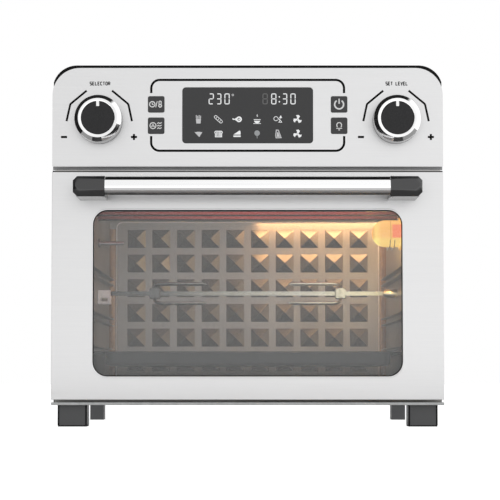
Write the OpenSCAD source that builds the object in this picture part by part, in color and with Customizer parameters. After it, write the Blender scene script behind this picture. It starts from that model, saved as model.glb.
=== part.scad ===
// Countertop toaster oven with a drop-down glass door, a rotisserie and a fan.
// X runs to the right seen from the front, Y runs from the front to the back, Z is up.
// The origin is on the worktop, under the middle of the oven's overall box.

/* [Case] */
// Width across the control panel and the door
body_w = 400; // [396:1:404]
// Height from the worktop to the top of the case
overall_h = 370; // [368:1:374]
// Depth from the front of the door to the rear panel
body_d = 348; // [344:1:352]
// Height of the feet under the case
foot_h = 22; // [20:1:24]
// Thickness of the pressed sheet metal
sheet = 0.8; // [0.7:0.1:1]
// Radius of the two upper corners of the case
case_r = 25; // [22:1:28]

/* [Door] */
// Height of the door skin
door_h = 232.5; // [231:0.5:233]
// Width of the window
window_w = 316; // [310:1:320]
// Height of the window
window_h = 170; // [166:1:174]
// Radius of the window corners
window_r = 15; // [12:1:18]
// How far the handle stands out in front of the door
handle_reach = 42; // [40:1:44]
// Diameter of the handle bar
bar_d = 18; // [17:0.5:18.5]

/* [Controls] */
// Distance of each knob from the middle
knob_x = 152; // [150:1:153]
// Diameter of a knob where it meets the panel
knob_d = 48; // [44:1:50]
// Width of the display window
display_w = 133.7; // [128:0.1:136]
// Height of the display window
display_h = 57.4; // [54:0.1:60]
// Side of a square push button
button_w = 16.4; // [15:0.1:17]

/* [Cavity] */
// Inner width of the cooking space
cavity_w = 332; // [330:1:334]
// Inner height of the cooking space
cavity_h = 198; // [197:1:199]
// Inner depth of the cooking space
cavity_d = 299; // [297:1:301]
// Side of one embossed pyramid on the back wall
pyramid_w = 22.2; // [20:0.1:24]
// Distance from one pyramid to the next
pyramid_pitch = 29.7; // [29:0.1:30]

/* [Hidden] */
$fn = 64;
e = 0.01;

// Depth positions
spacer_d = 10;
front_y = handle_reach - (handle_reach + body_d + spacer_d) / 2;
rear_y = front_y + body_d;
door_back_y = front_y + 21.5;
frame_y = front_y + 24;
cavity_y1 = frame_y + cavity_d;

// Height positions
base_z = foot_h;
base_top = base_z + sheet;
rail_top = base_z + 2.8;
door_z0 = base_z + 5.5;
door_z1 = door_z0 + door_h;
fascia_z0 = door_z1 + 6.3;
fascia_z1 = overall_h - 2.8;
cavity_z0 = base_z + 17;
cavity_z1 = cavity_z0 + cavity_h;
window_z = door_z0 + 108.6;
half_w = body_w / 2;
cavity_x = cavity_w / 2;

// Openings and fixings on the case
louvre_y = [for (i = [0:8]) rear_y - 118 + 12 * i];
louvre_z = [overall_h - 92, overall_h - 62];
side_screw_y = [frame_y + 30, frame_y + 134, rear_y - 30];
rear_screw_x = [-half_w + 15, half_w - 15];
rear_screw_z = [base_z + 18, base_z + 168, overall_h - 45];
spacer_x = [-130, 130];
spacer_z = overall_h - 25;
gland_x = -150;
gland_z = base_z + 40;

// Door hinge
hinge_y = front_y + 7;
hinge_z = door_z0 + 12;
hinge_r = 2.5;
hinge_x = 177;
arm_r = 75;
arm_x = 184;
arm_w = 5;
arm_t = 2.2;
arm_top_angle = 80.4;
arm_tail_angle = -11;
stop_pin_angle = -10.1;

// Door glass and inner frame
skin_t = 1;
glass_y = front_y + skin_t + 0.1;
glass_t = 4;
inner_z0 = hinge_z + 6.5;
inner_z1 = door_z1 + 2;
inner_x = half_w - 3;
inner_plate_y = door_back_y - sheet;
inner_window_w = window_w + 6;
inner_window_h = window_h + 6;
inner_window_r = window_r + 3;

// Handle
bar_y = front_y - handle_reach + bar_d / 2 + 0.5;
bar_z = door_z1 - 18;
bracket_x0 = 143;
bracket_x1 = 175;
bracket_h = 19;

// Controls
knob_z = fascia_z0 + 46.7;
knob_gap = 0.8;
knob_h = 20;
knob_face_d = 33.6;
knob_ring_d = 40;
display_z = fascia_z0 + 52.05;
button_x = 93.7;
button_z = [fascia_z0 + 63.3, fascia_z0 + 41.3];
button_proud = 0.9;
board_y = front_y + 10.6;
board_t = 1.6;
board_w = 214;
board_h = 74;

// Rotisserie
spit_y = frame_y + 139;
spit_z = base_z + 121;
spit_w = 4.6;
fork_x = 103;
socket_x0 = cavity_x - 14;
socket_x1 = cavity_x + 10;
socket_r = 4.5;

// Rack rails, from the lowest up
rail_z = [base_z + 54, base_z + 90, base_z + 137];
rail_reach = 7;
rail_t = 1.5;
rail_slot = 6;

// Heating elements
rod_r = 3;
upper_rod_z = cavity_z1 - 10;
lower_rod_z = cavity_z0 + 9;
upper_rod_y = [frame_y + 29, frame_y + 82, frame_y + 136];
lower_rod_y = [frame_y + 69, frame_y + 204];

// Lamp
lamp_y = frame_y + 74;
lamp_z = cavity_z1 - 32.5;
lamp_r = 14.5;
lamp_reach = 32.5;
lamp_flange_r = 22;
lamp_flange_top = 12;

// Temperature probe in the left wall
probe_z = cavity_z1 - 38;

// Fan over the cavity
fan_y = frame_y + 149;
fan_r = 63;
fan_shaft_r = 3;
housing_z1 = cavity_z1 + 23;
motor_z0 = housing_z1 + 3;
motor_z1 = motor_z0 + 28;

// ---------- shared shapes ----------

// Extrudes a shape drawn in X and Z from depth y0 backwards by t
module slab(y0, t) {
    translate([0, y0 + t, 0]) rotate([90, 0, 0]) linear_extrude(t) children();
}

// Places what is drawn along +Z so that it runs along +X instead
module along_x(x, y, z) {
    translate([x, y, z]) rotate([0, 90, 0]) children();
}

// Places what is drawn along +Z so that it runs along +Y instead
module along_y(x, y, z) {
    translate([x, y, z]) rotate([-90, 0, 0]) children();
}

// Both sides of the oven
module both_sides() {
    children();
    mirror([1, 0, 0]) children();
}

// Rectangle with round corners about its own middle
module rounded(w, h, r) {
    square([w - 2 * r, h], center = true);
    square([w, h - 2 * r], center = true);
    for (sx = [-1, 1], sz = [-1, 1])
        translate([sx * (w / 2 - r), sz * (h / 2 - r)]) circle(r);
}

// Case outline: square at the bottom, round at the two upper corners
module arch(hw, z0, z1, r) {
    translate([-hw, z0]) square([2 * hw, z1 - z0 - r]);
    translate([-hw + r, z0]) square([2 * (hw - r), z1 - z0]);
    for (s = [-1, 1]) translate([s * (hw - r), z1 - r]) circle(r);
}

// Screw with a cross recess in its head, which starts at Z = 0, and its shank pointing along +Z
module screw(head_r, head_h, shank_r, shank_l) {
    difference() {
        cylinder(h = head_h, r = head_r);
        for (a = [0, 90]) rotate([0, 0, a])
            translate([-head_r * 0.6, -0.4, -e]) cube([head_r * 1.2, 0.8, head_h * 0.45]);
    }
    translate([0, 0, head_h - e]) cylinder(h = shank_l, r = shank_r);
}

// Points of a helix about Z for a wire spring, as rings of a swept tube
function coil_ring(t, turns, pitch, coil_r, wire_r, sides) =
    let (a = 360 * t, c = [coil_r * cos(a), coil_r * sin(a), pitch * t])
    [for (k = [0:sides - 1]) let (b = 360 * k / sides)
        c + [wire_r * cos(b) * cos(a), wire_r * cos(b) * sin(a), wire_r * sin(b)]];

// Torsion spring wound about Z
module coil_spring(turns, pitch, coil_r, wire_r) {
    sides = 8;
    per_turn = 16;
    steps = turns * per_turn;
    points = [for (i = [0:steps]) each coil_ring(i / per_turn, turns, pitch, coil_r, wire_r, sides)];
    walls = [for (i = [0:steps - 1], k = [0:sides - 1])
        let (a = i * sides, n = (k + 1) % sides) [a + n, a + sides + n, a + sides + k, a + k]];
    ends = [[for (k = [sides - 1:-1:0]) k], [for (k = [0:sides - 1]) steps * sides + k]];
    polyhedron(points, concat(walls, ends), convexity = 6);
}

// ---------- case ----------

module outer_wrap() color("#2b2c2e") {
    wrap_l = rear_y - sheet - frame_y;
    difference() {
        slab(frame_y, wrap_l) arch(half_w, base_z, overall_h, case_r);
        slab(frame_y - 1, wrap_l + 2) arch(half_w - sheet, base_z - 1, overall_h - sheet, case_r - sheet);
        // Cooling louvres in the upper rear of both sides
        for (y = louvre_y, z = louvre_z) translate([-half_w - 1, y, z]) cube([body_w + 2, 4.5, 22]);
        for (y = side_screw_y) along_x(-half_w - 1, y, base_z + 8) cylinder(h = body_w + 2, r = 3.4);
    }
    // Flange at the back that the rear panel is screwed to
    difference() {
        slab(rear_y - 2 * sheet, sheet)
            arch(half_w - sheet, base_top, overall_h - sheet, case_r - sheet);
        slab(rear_y - 5, 10) arch(half_w - 22, base_z - 1, overall_h - 14, 12);
        for (x = rear_screw_x, z = rear_screw_z) along_y(x, rear_y - 5, z) cylinder(h = 10, r = 1.5);
        for (x = spacer_x) along_y(x, rear_y - 5, spacer_z) cylinder(h = 10, r = 2.1);
    }
}

module rear_panel() color("#2b2c2e") difference() {
    slab(rear_y - sheet, sheet) arch(half_w, base_z, overall_h, case_r);
    // Hot air outlets above, cooling inlets below
    for (sx = [-1, 1], i = [0:9]) translate([sx * 92 - 45, rear_y - 5, 262 + 8 * i]) cube([90, 10, 4]);
    for (sx = [-1, 1], i = [0:5]) translate([sx * 92 - 45, rear_y - 5, 92 + 10 * i]) cube([90, 10, 4]);
    along_y(gland_x, rear_y - 5, gland_z) cylinder(h = 10, r = 8.2);
    for (x = rear_screw_x, z = rear_screw_z) along_y(x, rear_y - 5, z) cylinder(h = 10, r = 1.8);
    for (x = spacer_x) along_y(x, rear_y - 5, spacer_z) cylinder(h = 10, r = 2.1);
}

module base_plate() color("#b9bbbd") difference() {
    union() {
        translate([-half_w + sheet, front_y + 2, base_z])
            cube([body_w - 2 * sheet, body_d - 2 - sheet, sheet]);
        // Front rail that shows under the door
        translate([-half_w, front_y + 1, base_z]) cube([body_w, 6, rail_top - base_z]);
        // Side flanges that the wrap is screwed to
        both_sides() translate([half_w - 2 * sheet, frame_y + 4, base_z]) cube([sheet, body_d - 34, 14]);
    }
    for (i = [0:11]) translate([-113 + 20 * i, 40, base_z - 1]) cube([6, 90, 5]);
    for (y = side_screw_y) along_x(-half_w - 1, y, base_z + 8) cylinder(h = body_w + 2, r = 1.5);
}

module front_frame() color("#8e9092") difference() {
    slab(frame_y, sheet) translate([-half_w + sheet, base_top])
        square([body_w - 2 * sheet, fascia_z0 + 60 - base_top]);
    slab(frame_y - 1, sheet + 2) translate([0, cavity_z0 + cavity_h / 2])
        square([cavity_w, cavity_h], center = true);
    // Slots for the door arms
    both_sides() translate([arm_x - 2, frame_y - 1, hinge_z + 68.5]) cube([4, sheet + 2, 9]);
    // Wiring window behind the control panel
    translate([-120, frame_y - 1, fascia_z0 + 16]) cube([240, sheet + 2, 36]);
}

module control_fascia() color("#dcdddf") {
    depth = frame_y - front_y;
    difference() {
        slab(front_y, depth) arch(half_w, fascia_z0, fascia_z1, case_r + 3);
        slab(front_y + skin_t, depth)
            arch(half_w - skin_t, fascia_z0 + skin_t, fascia_z1 - skin_t, case_r + 2);
        slab(front_y - 1, 3) translate([0, display_z]) rounded(display_w + 0.4, display_h + 0.4, 3.8);
        for (sx = [-1, 1], z = button_z)
            slab(front_y - 1, 3) translate([sx * button_x, z]) rounded(button_w + 0.6, button_w + 0.6, 1.8);
        for (sx = [-1, 1]) along_y(sx * knob_x, front_y - 1, knob_z) cylinder(h = 3, r = 4);
    }
    // Standoffs for the control board
    for (x = [-101, 101], dz = [-32.5, 32.5])
        along_y(x, front_y + skin_t - e, display_z + dz) cylinder(h = board_y - front_y - skin_t + e, r = 3);
}

// Dark plastic edge over the top and the two corners of the control panel
module fascia_trim() color("#161617") difference() {
    slab(front_y + 0.6, frame_y - front_y - 0.6) arch(half_w, fascia_z0, overall_h, case_r);
    slab(front_y, 30) arch(half_w + e, fascia_z0 - 1, fascia_z1, case_r + 3);
    for (s = [-1, 1]) translate([s * half_w - 1.2, front_y, fascia_z0 - 1]) cube([2.4, 30, 200]);
}

module front_feet() color("#3c3d3f") both_sides() difference() {
    translate([164, front_y + 8, 0]) cube([30, 26, foot_h]);
    translate([166, front_y + 10, 3]) cube([26, 22, foot_h]);
}

module rear_feet() color("#3c3d3f") both_sides()
    translate([169.5, rear_y - 62, 0]) cube([16, 24, foot_h]);

module cord_gland() color("#1b1b1c") difference() {
    union() {
        along_y(gland_x, rear_y - 9, gland_z) cylinder(h = 14, r = 8);
        along_y(gland_x, rear_y, gland_z) cylinder(h = 5, r = 11);
        along_y(gland_x, rear_y - sheet - 5, gland_z) cylinder(h = 5, r = 10);
    }
    along_y(gland_x, rear_y - 12, gland_z) cylinder(h = 24, r = 4);
}

module rear_spacers() color("#1b1b1c") for (x = spacer_x) difference() {
    along_y(x, rear_y, spacer_z) cylinder(h = spacer_d, r1 = 11, r2 = 9);
    along_y(x, rear_y + 5, spacer_z) cylinder(h = spacer_d, r = 4.2);
    along_y(x, rear_y - 1, spacer_z) cylinder(h = spacer_d, r = 2.1);
}

module case_screws() color("#77797c") {
    both_sides() for (y = side_screw_y)
        translate([half_w - 0.1, y, base_z + 8]) rotate([0, -90, 0]) screw(3.2, sheet - 0.1, 1.4, 6);
    for (x = rear_screw_x, z = rear_screw_z)
        translate([x, rear_y + 2, z]) rotate([90, 0, 0]) screw(3.2, 2, 1.4, 6);
}

// ---------- controls ----------

module display_lens() color("#46474a") slab(front_y + 0.1, 2) translate([0, display_z])
    rounded(display_w, display_h, 3.6);

module control_board() color("#1d5a3a") {
    slab(board_y, board_t) translate([0, display_z]) square([board_w, board_h], center = true);
    // Display module behind the lens
    slab(front_y + 2.1, board_y - front_y - 2.1 + e) translate([0, display_z])
        square([display_w - 6, display_h - 4], center = true);
    // Tact switches behind the buttons
    for (sx = [-1, 1], z = button_z) {
        slab(board_y - 2, 2 + e) translate([sx * button_x, z]) square(6, center = true);
        along_y(sx * button_x, board_y - 2.6, z) cylinder(h = 1, r = 1.6);
    }
    // Chips and connectors on the back
    slab(board_y + board_t - e, 7) for (x = [-70, -20, 30, 75])
        translate([x, display_z - 12]) square([16, 22]);
}

module encoder_bodies() color("#9a9c9f") for (sx = [-1, 1]) difference() {
    union() {
        slab(front_y + 6, 7) translate([sx * knob_x, knob_z]) square(12, center = true);
        along_y(sx * knob_x, front_y + skin_t, knob_z) cylinder(h = 6, r = 5);
    }
    along_y(sx * knob_x, front_y, knob_z) cylinder(h = 12, r = 3.05);
}

module knob_skirt(x) color("#c9cacc") difference() {
    union() {
        along_y(x, front_y - knob_gap - 4, knob_z) cylinder(h = 4, r = knob_d / 2);
        along_y(x, front_y - knob_gap - knob_h, knob_z)
            cylinder(h = knob_h - 4, r1 = knob_ring_d / 2, r2 = knob_d / 2 - 1);
    }
    along_y(x, front_y - knob_gap - knob_h - 1, knob_z) cylinder(h = 4, r = knob_face_d / 2 + 0.05);
    along_y(x, front_y - knob_gap - 6, knob_z) cylinder(h = 8, r = knob_d / 2 - 4);
    along_y(x, front_y - knob_gap - knob_h, knob_z) cylinder(h = knob_h + 1, r = 3.05);
}

// Black cap of a knob, with the shaft that turns in the encoder
module knob_face(x) color("#2e2f31") {
    along_y(x, front_y - knob_gap - knob_h + 0.4, knob_z) cylinder(h = 2.6, r = knob_face_d / 2);
    along_y(x, front_y - knob_gap - knob_h + 2, knob_z) cylinder(h = knob_h + knob_gap + 8, r = 3);
}

module knob_left_skirt() knob_skirt(-knob_x);
module knob_left_face() knob_face(-knob_x);
module knob_right_skirt() knob_skirt(knob_x);
module knob_right_face() knob_face(knob_x);

module push_button(x, z) color("#3a3b3d") {
    slab(front_y - button_proud, button_proud + 2.2) translate([x, z]) rounded(button_w, button_w, 1.5);
    slab(front_y + skin_t + 0.05, 1.2) translate([x, z]) square(button_w + 3, center = true);
    along_y(x, front_y + 2.2, z) cylinder(h = 4.7, r = 1.8);
}

module button_time_temp() push_button(-button_x, button_z[0]);
module button_fan_mode() push_button(-button_x, button_z[1]);
module button_power() push_button(button_x, button_z[0]);
module button_light() push_button(button_x, button_z[1]);

// ---------- inside the top compartment ----------

module power_board() color("#2d5f8a") translate([-168, frame_y + 60, cavity_z1 + 16]) {
    cube([72, 110, 1.6]);
    translate([6, 8, 1.6 - e]) cube([34, 28, 24]);
    translate([46, 10, 1.6 - e]) cube([16, 20, 14]);
    for (i = [0:3]) translate([12 + 15 * i, 52, 1.6 - e]) cylinder(h = 18, r = 5);
    translate([10, 74, 1.6 - e]) cube([52, 26, 10]);
    for (x = [5, 67], y = [5, 105]) translate([x, y, -7]) cylinder(h = 7 + e, r = 3);
}

module heat_shield() color("#a8aaac") difference() {
    union() {
        translate([-176, frame_y + 12, cavity_z1 + 8]) cube([352, cavity_d - 22, 1]);
        both_sides() translate([160, frame_y + 12, cavity_z1 + sheet]) cube([1, cavity_d - 22, 7]);
    }
    translate([0, fan_y, cavity_z1 + 5]) cylinder(h = 10, r = 76);
}

module thermal_cutout() color("#c8b98a") translate([110, frame_y + 120, cavity_z1 + 9]) {
    cylinder(h = 6, r = 8);
    for (s = [-1, 1]) translate([s * 4 - 1.5, -0.4, 6 - e]) cube([3, 0.8, 7]);
    translate([-12, -4, 0]) cube([24, 8, 1]);
}

// Round chamber that holds the impeller over the cavity's grille
module fan_housing() color("#a8aaac") translate([0, fan_y, 0]) difference() {
    translate([0, 0, cavity_z1 + sheet]) cylinder(h = housing_z1 - cavity_z1 - sheet, r = 75);
    translate([0, 0, cavity_z1]) cylinder(h = housing_z1 - cavity_z1 - 1.2, r = 73.5);
    translate([0, 0, cavity_z1]) cylinder(h = 40, r = 5);
}

module fan_motor() color("#8d8f92") translate([0, fan_y, 0]) difference() {
    union() {
        translate([0, 0, motor_z0]) cylinder(h = motor_z1 - motor_z0, r = 28);
        translate([-36, -9, motor_z0 + 4]) cube([72, 18, 12]);
        for (s = [-1, 1]) translate([s * 32, 0, housing_z1]) cylinder(h = 8, r = 3);
    }
    translate([0, 0, motor_z0 - 1]) cylinder(h = 40, r = fan_shaft_r + 0.06);
}

module fan_shaft() color("#bfc1c4") translate([0, fan_y, cavity_z1 + 5])
    cylinder(h = motor_z1 + 14 - cavity_z1 - 5, r = fan_shaft_r);

module convection_fan() color("#b0b2b5") translate([0, fan_y, cavity_z1 + 5]) difference() {
    union() {
        translate([0, 0, 13]) cylinder(h = 1.2, r = fan_r);
        cylinder(h = 13 + e, r = 9);
        for (i = [0:9]) rotate([0, 0, 36 * i]) translate([18, -0.7, 1]) rotate([0, 0, 18])
            cube([43, 1.4, 12 + e]);
    }
    translate([0, 0, -1]) cylinder(h = 20, r = fan_shaft_r + 0.02);
}

module cooling_fan() color("#46484b") translate([0, fan_y, motor_z1 + 3]) difference() {
    union() {
        cylinder(h = 9, r = 8);
        for (i = [0:5]) rotate([0, 0, 60 * i]) translate([6, 0, 4.5]) rotate([32, 0, 0])
            translate([0, -7, -0.6]) cube([34, 14, 1.2]);
    }
    translate([0, 0, -1]) cylinder(h = 20, r = fan_shaft_r + 0.02);
}

// ---------- cavity ----------

module cavity_floor() color("#9b9d9f")
    translate([-cavity_x - sheet, frame_y + sheet, cavity_z0 - sheet])
        cube([cavity_w + 2 * sheet, cavity_d - sheet, sheet]);

module cavity_ceiling() color("#a3a5a7") difference() {
    translate([-cavity_x - sheet, frame_y + sheet, cavity_z1])
        cube([cavity_w + 2 * sheet, cavity_d - sheet, sheet]);
    // Air grille under the impeller
    for (i = [-6:6]) let (l = 2 * sqrt(pow(62, 2) - pow(9 * i, 2)))
        translate([9 * i - 2, fan_y - l / 2, cavity_z1 - 1]) cube([4, l, sheet + 2]);
}

module side_wall_blank(s) {
    x0 = s > 0 ? cavity_x : -cavity_x - sheet;
    difference() {
        translate([x0, frame_y + sheet, cavity_z0]) cube([sheet, cavity_d - sheet, cavity_h]);
        for (y = upper_rod_y) along_x(x0 - 1, y, upper_rod_z) cylinder(h = sheet + 2, r = rod_r + 1);
        for (y = lower_rod_y) along_x(x0 - 1, y, lower_rod_z) cylinder(h = sheet + 2, r = rod_r + 1);
    }
}

module cavity_left_wall() color("#9b9d9f") difference() {
    side_wall_blank(-1);
    along_x(-cavity_x - 5, spit_y, probe_z) cylinder(h = 10, r = 3.2);
}

module cavity_right_wall() color("#9b9d9f") difference() {
    side_wall_blank(1);
    along_x(cavity_x - 1, spit_y, spit_z) cylinder(h = sheet + 2, r = socket_r + 1.5);
    along_x(cavity_x - 1, lamp_y, lamp_z) cylinder(h = sheet + 2, r = lamp_r - 2);
}

// Rows of square pyramids raised from the back wall towards the door
module pyramids() {
    rise = 7;
    a = pyramid_w / 2;
    for (i = [0:9], k = [0:5])
        translate([(i - 4.5) * pyramid_pitch, cavity_y1, cavity_z1 - 20.7 - k * pyramid_pitch])
            polyhedron(
                [[-a, 0.2, -a], [a, 0.2, -a], [a, 0.2, a], [-a, 0.2, a], [0, -rise, 0]],
                [[0, 1, 2, 3], [1, 0, 4], [2, 1, 4], [3, 2, 4], [0, 3, 4]]);
}

module cavity_back_wall() color("#a3a5a7") difference() {
    union() {
        slab(cavity_y1, sheet) translate([0, cavity_z0 + cavity_h / 2])
            square([cavity_w + 2 * sheet, cavity_h + 2 * sheet], center = true);
        pyramids();
    }
    translate([0, 1, 0]) pyramids();
}

// Pairs of ledges that hold the edges of a rack or a pan
module rack_rails() color("#b4b6b8") both_sides() for (z = rail_z)
    translate([cavity_x - rail_reach, frame_y + 12, z]) {
        translate([0, 0, -rail_t]) cube([rail_reach, cavity_d - 30, rail_t]);
        translate([0, 0, rail_slot]) cube([rail_reach, cavity_d - 30, rail_t]);
        translate([rail_reach - 1, 0, -rail_t]) cube([1, cavity_d - 30, rail_slot + 2 * rail_t]);
    }

module rod(y, z) along_x(-cavity_x - 20, y, z) cylinder(h = cavity_w + 40, r = rod_r);

module upper_heaters() color("#7d2f26") for (y = upper_rod_y) rod(y, upper_rod_z);

module lower_heaters() color("#5c5e60") for (y = lower_rod_y) rod(y, lower_rod_z);

module insulator(y, z) along_x(cavity_x + sheet, y, z) difference() {
    union() {
        cylinder(h = 9, r = 6);
        cylinder(h = 2, r = 8);
    }
    translate([0, 0, -1]) cylinder(h = 20, r = rod_r + 0.1);
}

module heater_insulators() color("#e6e2d8") both_sides() {
    for (y = upper_rod_y) insulator(y, upper_rod_z);
    for (y = lower_rod_y) insulator(y, lower_rod_z);
}

// Shallow enamelled pan that hangs by its rim on the lowest rails
module drip_pan() color("#2a2b2d") {
    pan_w = cavity_w - 32;
    pan_y0 = frame_y + 16;
    pan_l = cavity_d - 44;
    depth = 14;
    rim_z = rail_z[0];
    translate([0, pan_y0 + pan_l / 2, rim_z]) difference() {
        union() {
            translate([0, 0, -depth]) linear_extrude(depth + 1) rounded(pan_w, pan_l, 10);
            linear_extrude(1) rounded(cavity_w - 4, pan_l + 6, 8);
        }
        translate([0, 0, -depth + 1]) linear_extrude(depth + 2) rounded(pan_w - 2, pan_l - 2, 9);
    }
}

// Ceramic cup behind the right wall, with a flange cut short under the heater above it
module lamp_housing() color("#c4b49a") difference() {
    union() {
        along_x(cavity_x + sheet, lamp_y, lamp_z) cylinder(h = 22, r = lamp_r + 0.5);
        along_x(cavity_x + sheet, lamp_y, lamp_z) cylinder(h = 1.5, r = lamp_flange_r);
    }
    along_x(cavity_x, lamp_y, lamp_z) cylinder(h = 12, r = 11);
    translate([cavity_x, lamp_y - 2, lamp_z + lamp_flange_top]) cube([10, 30, lamp_flange_r]);
}

module lamp_bulb() color("#fff0c0") {
    along_x(cavity_x - 10, lamp_y, lamp_z) cylinder(h = 22, r = 6);
    translate([cavity_x - 10, lamp_y, lamp_z]) sphere(6);
}

// Glass jar over the bulb
module lamp_lens() color("#ffd970") difference() {
    union() {
        along_x(cavity_x - lamp_reach + lamp_r, lamp_y, lamp_z) cylinder(h = lamp_reach - lamp_r, r = lamp_r);
        translate([cavity_x - lamp_reach + lamp_r, lamp_y, lamp_z]) sphere(lamp_r);
        along_x(cavity_x - 3, lamp_y, lamp_z) cylinder(h = 3, r = lamp_r + 3);
    }
    along_x(cavity_x - lamp_reach + lamp_r, lamp_y, lamp_z) cylinder(h = lamp_reach, r = lamp_r - 2);
    translate([cavity_x - lamp_reach + lamp_r, lamp_y, lamp_z]) sphere(lamp_r - 2);
}

module temperature_probe() color("#c9cbce") {
    along_x(-cavity_x - 8, spit_y, probe_z) cylinder(h = 36, r = 2.2);
    along_x(-cavity_x, spit_y, probe_z) cylinder(h = 2, r = 5);
}

// ---------- rotisserie ----------

module rotisserie_support() color("#d4d6d8") difference() {
    translate([-cavity_x, spit_y - 8, spit_z - 12]) cube([14, 16, 15.5]);
    translate([-cavity_x - 1, spit_y - spit_w / 2 - 0.1, spit_z]) cube([16, spit_w + 0.2, 10]);
    along_x(-cavity_x - 1, spit_y, spit_z) cylinder(h = 16, r = spit_w / 2 + 0.1);
    translate([-cavity_x + 3, spit_y - 9, spit_z - 9]) cube([8, 18, 4]);
}

module rotisserie_motor() color("#4a4c4f") difference() {
    union() {
        translate([socket_x1 + 1, spit_y - 25, spit_z - 25]) cube([19, 50, 50]);
        for (sy = [-1, 1]) translate([cavity_x + sheet, spit_y + sy * 28 - 4, spit_z - 6])
            cube([12, 8, 12]);
        for (sy = [-1, 1]) translate([socket_x1 + 1, spit_y + sy * 28 - 5, spit_z - 6]) cube([2, 10, 12]);
    }
    along_x(socket_x1, spit_y, spit_z) cylinder(h = 14, r = 3.06);
}

module drive_socket() color("#b8babd") difference() {
    union() {
        along_x(socket_x0, spit_y, spit_z) cylinder(h = socket_x1 - socket_x0, r = socket_r);
        along_x(socket_x1 - e, spit_y, spit_z) cylinder(h = 9, r = 3);
    }
    along_x(socket_x0 - 1, spit_y, spit_z) cylinder(h = 18, r = spit_w / 2 + 0.05);
}

module spit_rod() color("#cfd1d4") {
    along_x(-cavity_x + 1, spit_y, spit_z) cylinder(h = 20, r = spit_w / 2);
    translate([-cavity_x + 16, spit_y - spit_w / 2, spit_z - spit_w / 2])
        cube([cavity_w - 32, spit_w, spit_w]);
    along_x(cavity_x - 20, spit_y, spit_z) cylinder(h = 22, r = spit_w / 2);
}

module spit_forks() color("#cfd1d4") both_sides() difference() {
    prong_z = 17;
    union() {
        translate([fork_x - 6, spit_y - 6, spit_z - 6]) cube([12, 12, 12]);
        translate([fork_x - 2, spit_y - 2.5, spit_z - prong_z]) cube([4, 5, 2 * prong_z]);
        for (s = [-1, 1]) {
            along_x(fork_x - 54, spit_y, spit_z + s * (prong_z - 2)) cylinder(h = 54, r = 1.7);
            along_x(fork_x - 64, spit_y, spit_z + s * (prong_z - 2)) cylinder(h = 10, r1 = 0.4, r2 = 1.7);
        }
    }
    translate([fork_x - 7, spit_y - spit_w / 2 - 0.1, spit_z - spit_w / 2 - 0.1])
        cube([14, spit_w + 0.2, spit_w + 0.2]);
    along_y(fork_x, spit_y - 7, spit_z) cylinder(h = 5, r = 2.05);
}

module fork_screws() color("#b8babd") both_sides() {
    along_y(fork_x, spit_y - 16, spit_z) cylinder(h = 15.8 - spit_w / 2, r = 2);
    along_y(fork_x, spit_y - 20, spit_z) cylinder(h = 5, r = 5.5);
    translate([fork_x - 1.2, spit_y - 27, spit_z - 5]) cube([2.4, 8, 10]);
}

// ---------- door ----------

module door_skin() color("#dcdddf") difference() {
    union() {
        slab(front_y, skin_t) translate([-half_w, door_z0]) square([body_w, door_h]);
        // Edges folded back on all four sides
        slab(front_y, 10) for (z = [door_z0, door_z1 - skin_t])
            translate([-half_w, z]) square([body_w, skin_t]);
        both_sides() slab(front_y, 16)
            translate([half_w - skin_t, door_z0 + 12]) square([skin_t, door_h - 12]);
        both_sides() slab(front_y, 10) translate([half_w - skin_t, door_z0]) square([skin_t, 20]);
    }
    slab(front_y - 1, 3) translate([0, window_z]) rounded(window_w, window_h, window_r);
    // Room for the hinge brackets when the door turns
    both_sides() translate([hinge_x - 4, front_y + skin_t, door_z0 - 1]) cube([8, 12, 3]);
    both_sides() along_y(bracket_x0 + 16, front_y - 1, bar_z) cylinder(h = 3, r = 2.3);
}

module door_glass() color("#c8d2d4", 0.4) slab(glass_y, glass_t) translate([0, window_z])
    rounded(window_w + 14, window_h + 14, 20);

module door_inner_frame() color("#6e7072") {
    plate_y = inner_plate_y;
    difference() {
        union() {
            slab(plate_y, sheet) translate([-inner_x, inner_z0]) square([2 * inner_x, inner_z1 - inner_z0]);
            // Walls from the inner plate to the glass, round the window
            slab(glass_y + glass_t + 0.1, plate_y - glass_y - glass_t - 0.1 + e) translate([0, window_z])
                rounded(inner_window_w + 2 * sheet, inner_window_h + 2 * sheet, inner_window_r + sheet);
            // Lip over the top edge of the skin, and folded sides
            slab(front_y + 1.2, plate_y - front_y - 1.2 + e) translate([-inner_x, inner_z1 - 1.1])
                square([2 * inner_x, 1.1]);
            both_sides() slab(front_y + 10, plate_y - front_y - 10 + e) translate([inner_x - sheet, inner_z0])
                square([sheet, inner_z1 - inner_z0]);
        }
        slab(front_y, 30) translate([0, window_z]) rounded(inner_window_w, inner_window_h, inner_window_r);
        // Slots for the arms
        both_sides() translate([arm_x - arm_t / 2, plate_y - 1, hinge_z + 68]) cube([arm_t, 4, 12]);
    }
    // Ears that carry the hinge pins
    for (x = [hinge_x - 6.5, hinge_x + 4.5], s = [-1, 1]) translate([s > 0 ? x : -x - 2, 0, 0]) difference() {
        union() {
            along_x(0, hinge_y, hinge_z) cylinder(h = 2, r = 5.2);
            translate([0, hinge_y - 3, hinge_z]) cube([2, 8, 12]);
            translate([0, hinge_y + 2, hinge_z + 7]) cube([2, plate_y - hinge_y - 2 + e, 10]);
        }
        along_x(-1, hinge_y, hinge_z) cylinder(h = 4, r = hinge_r + 0.01);
    }
}

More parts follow.
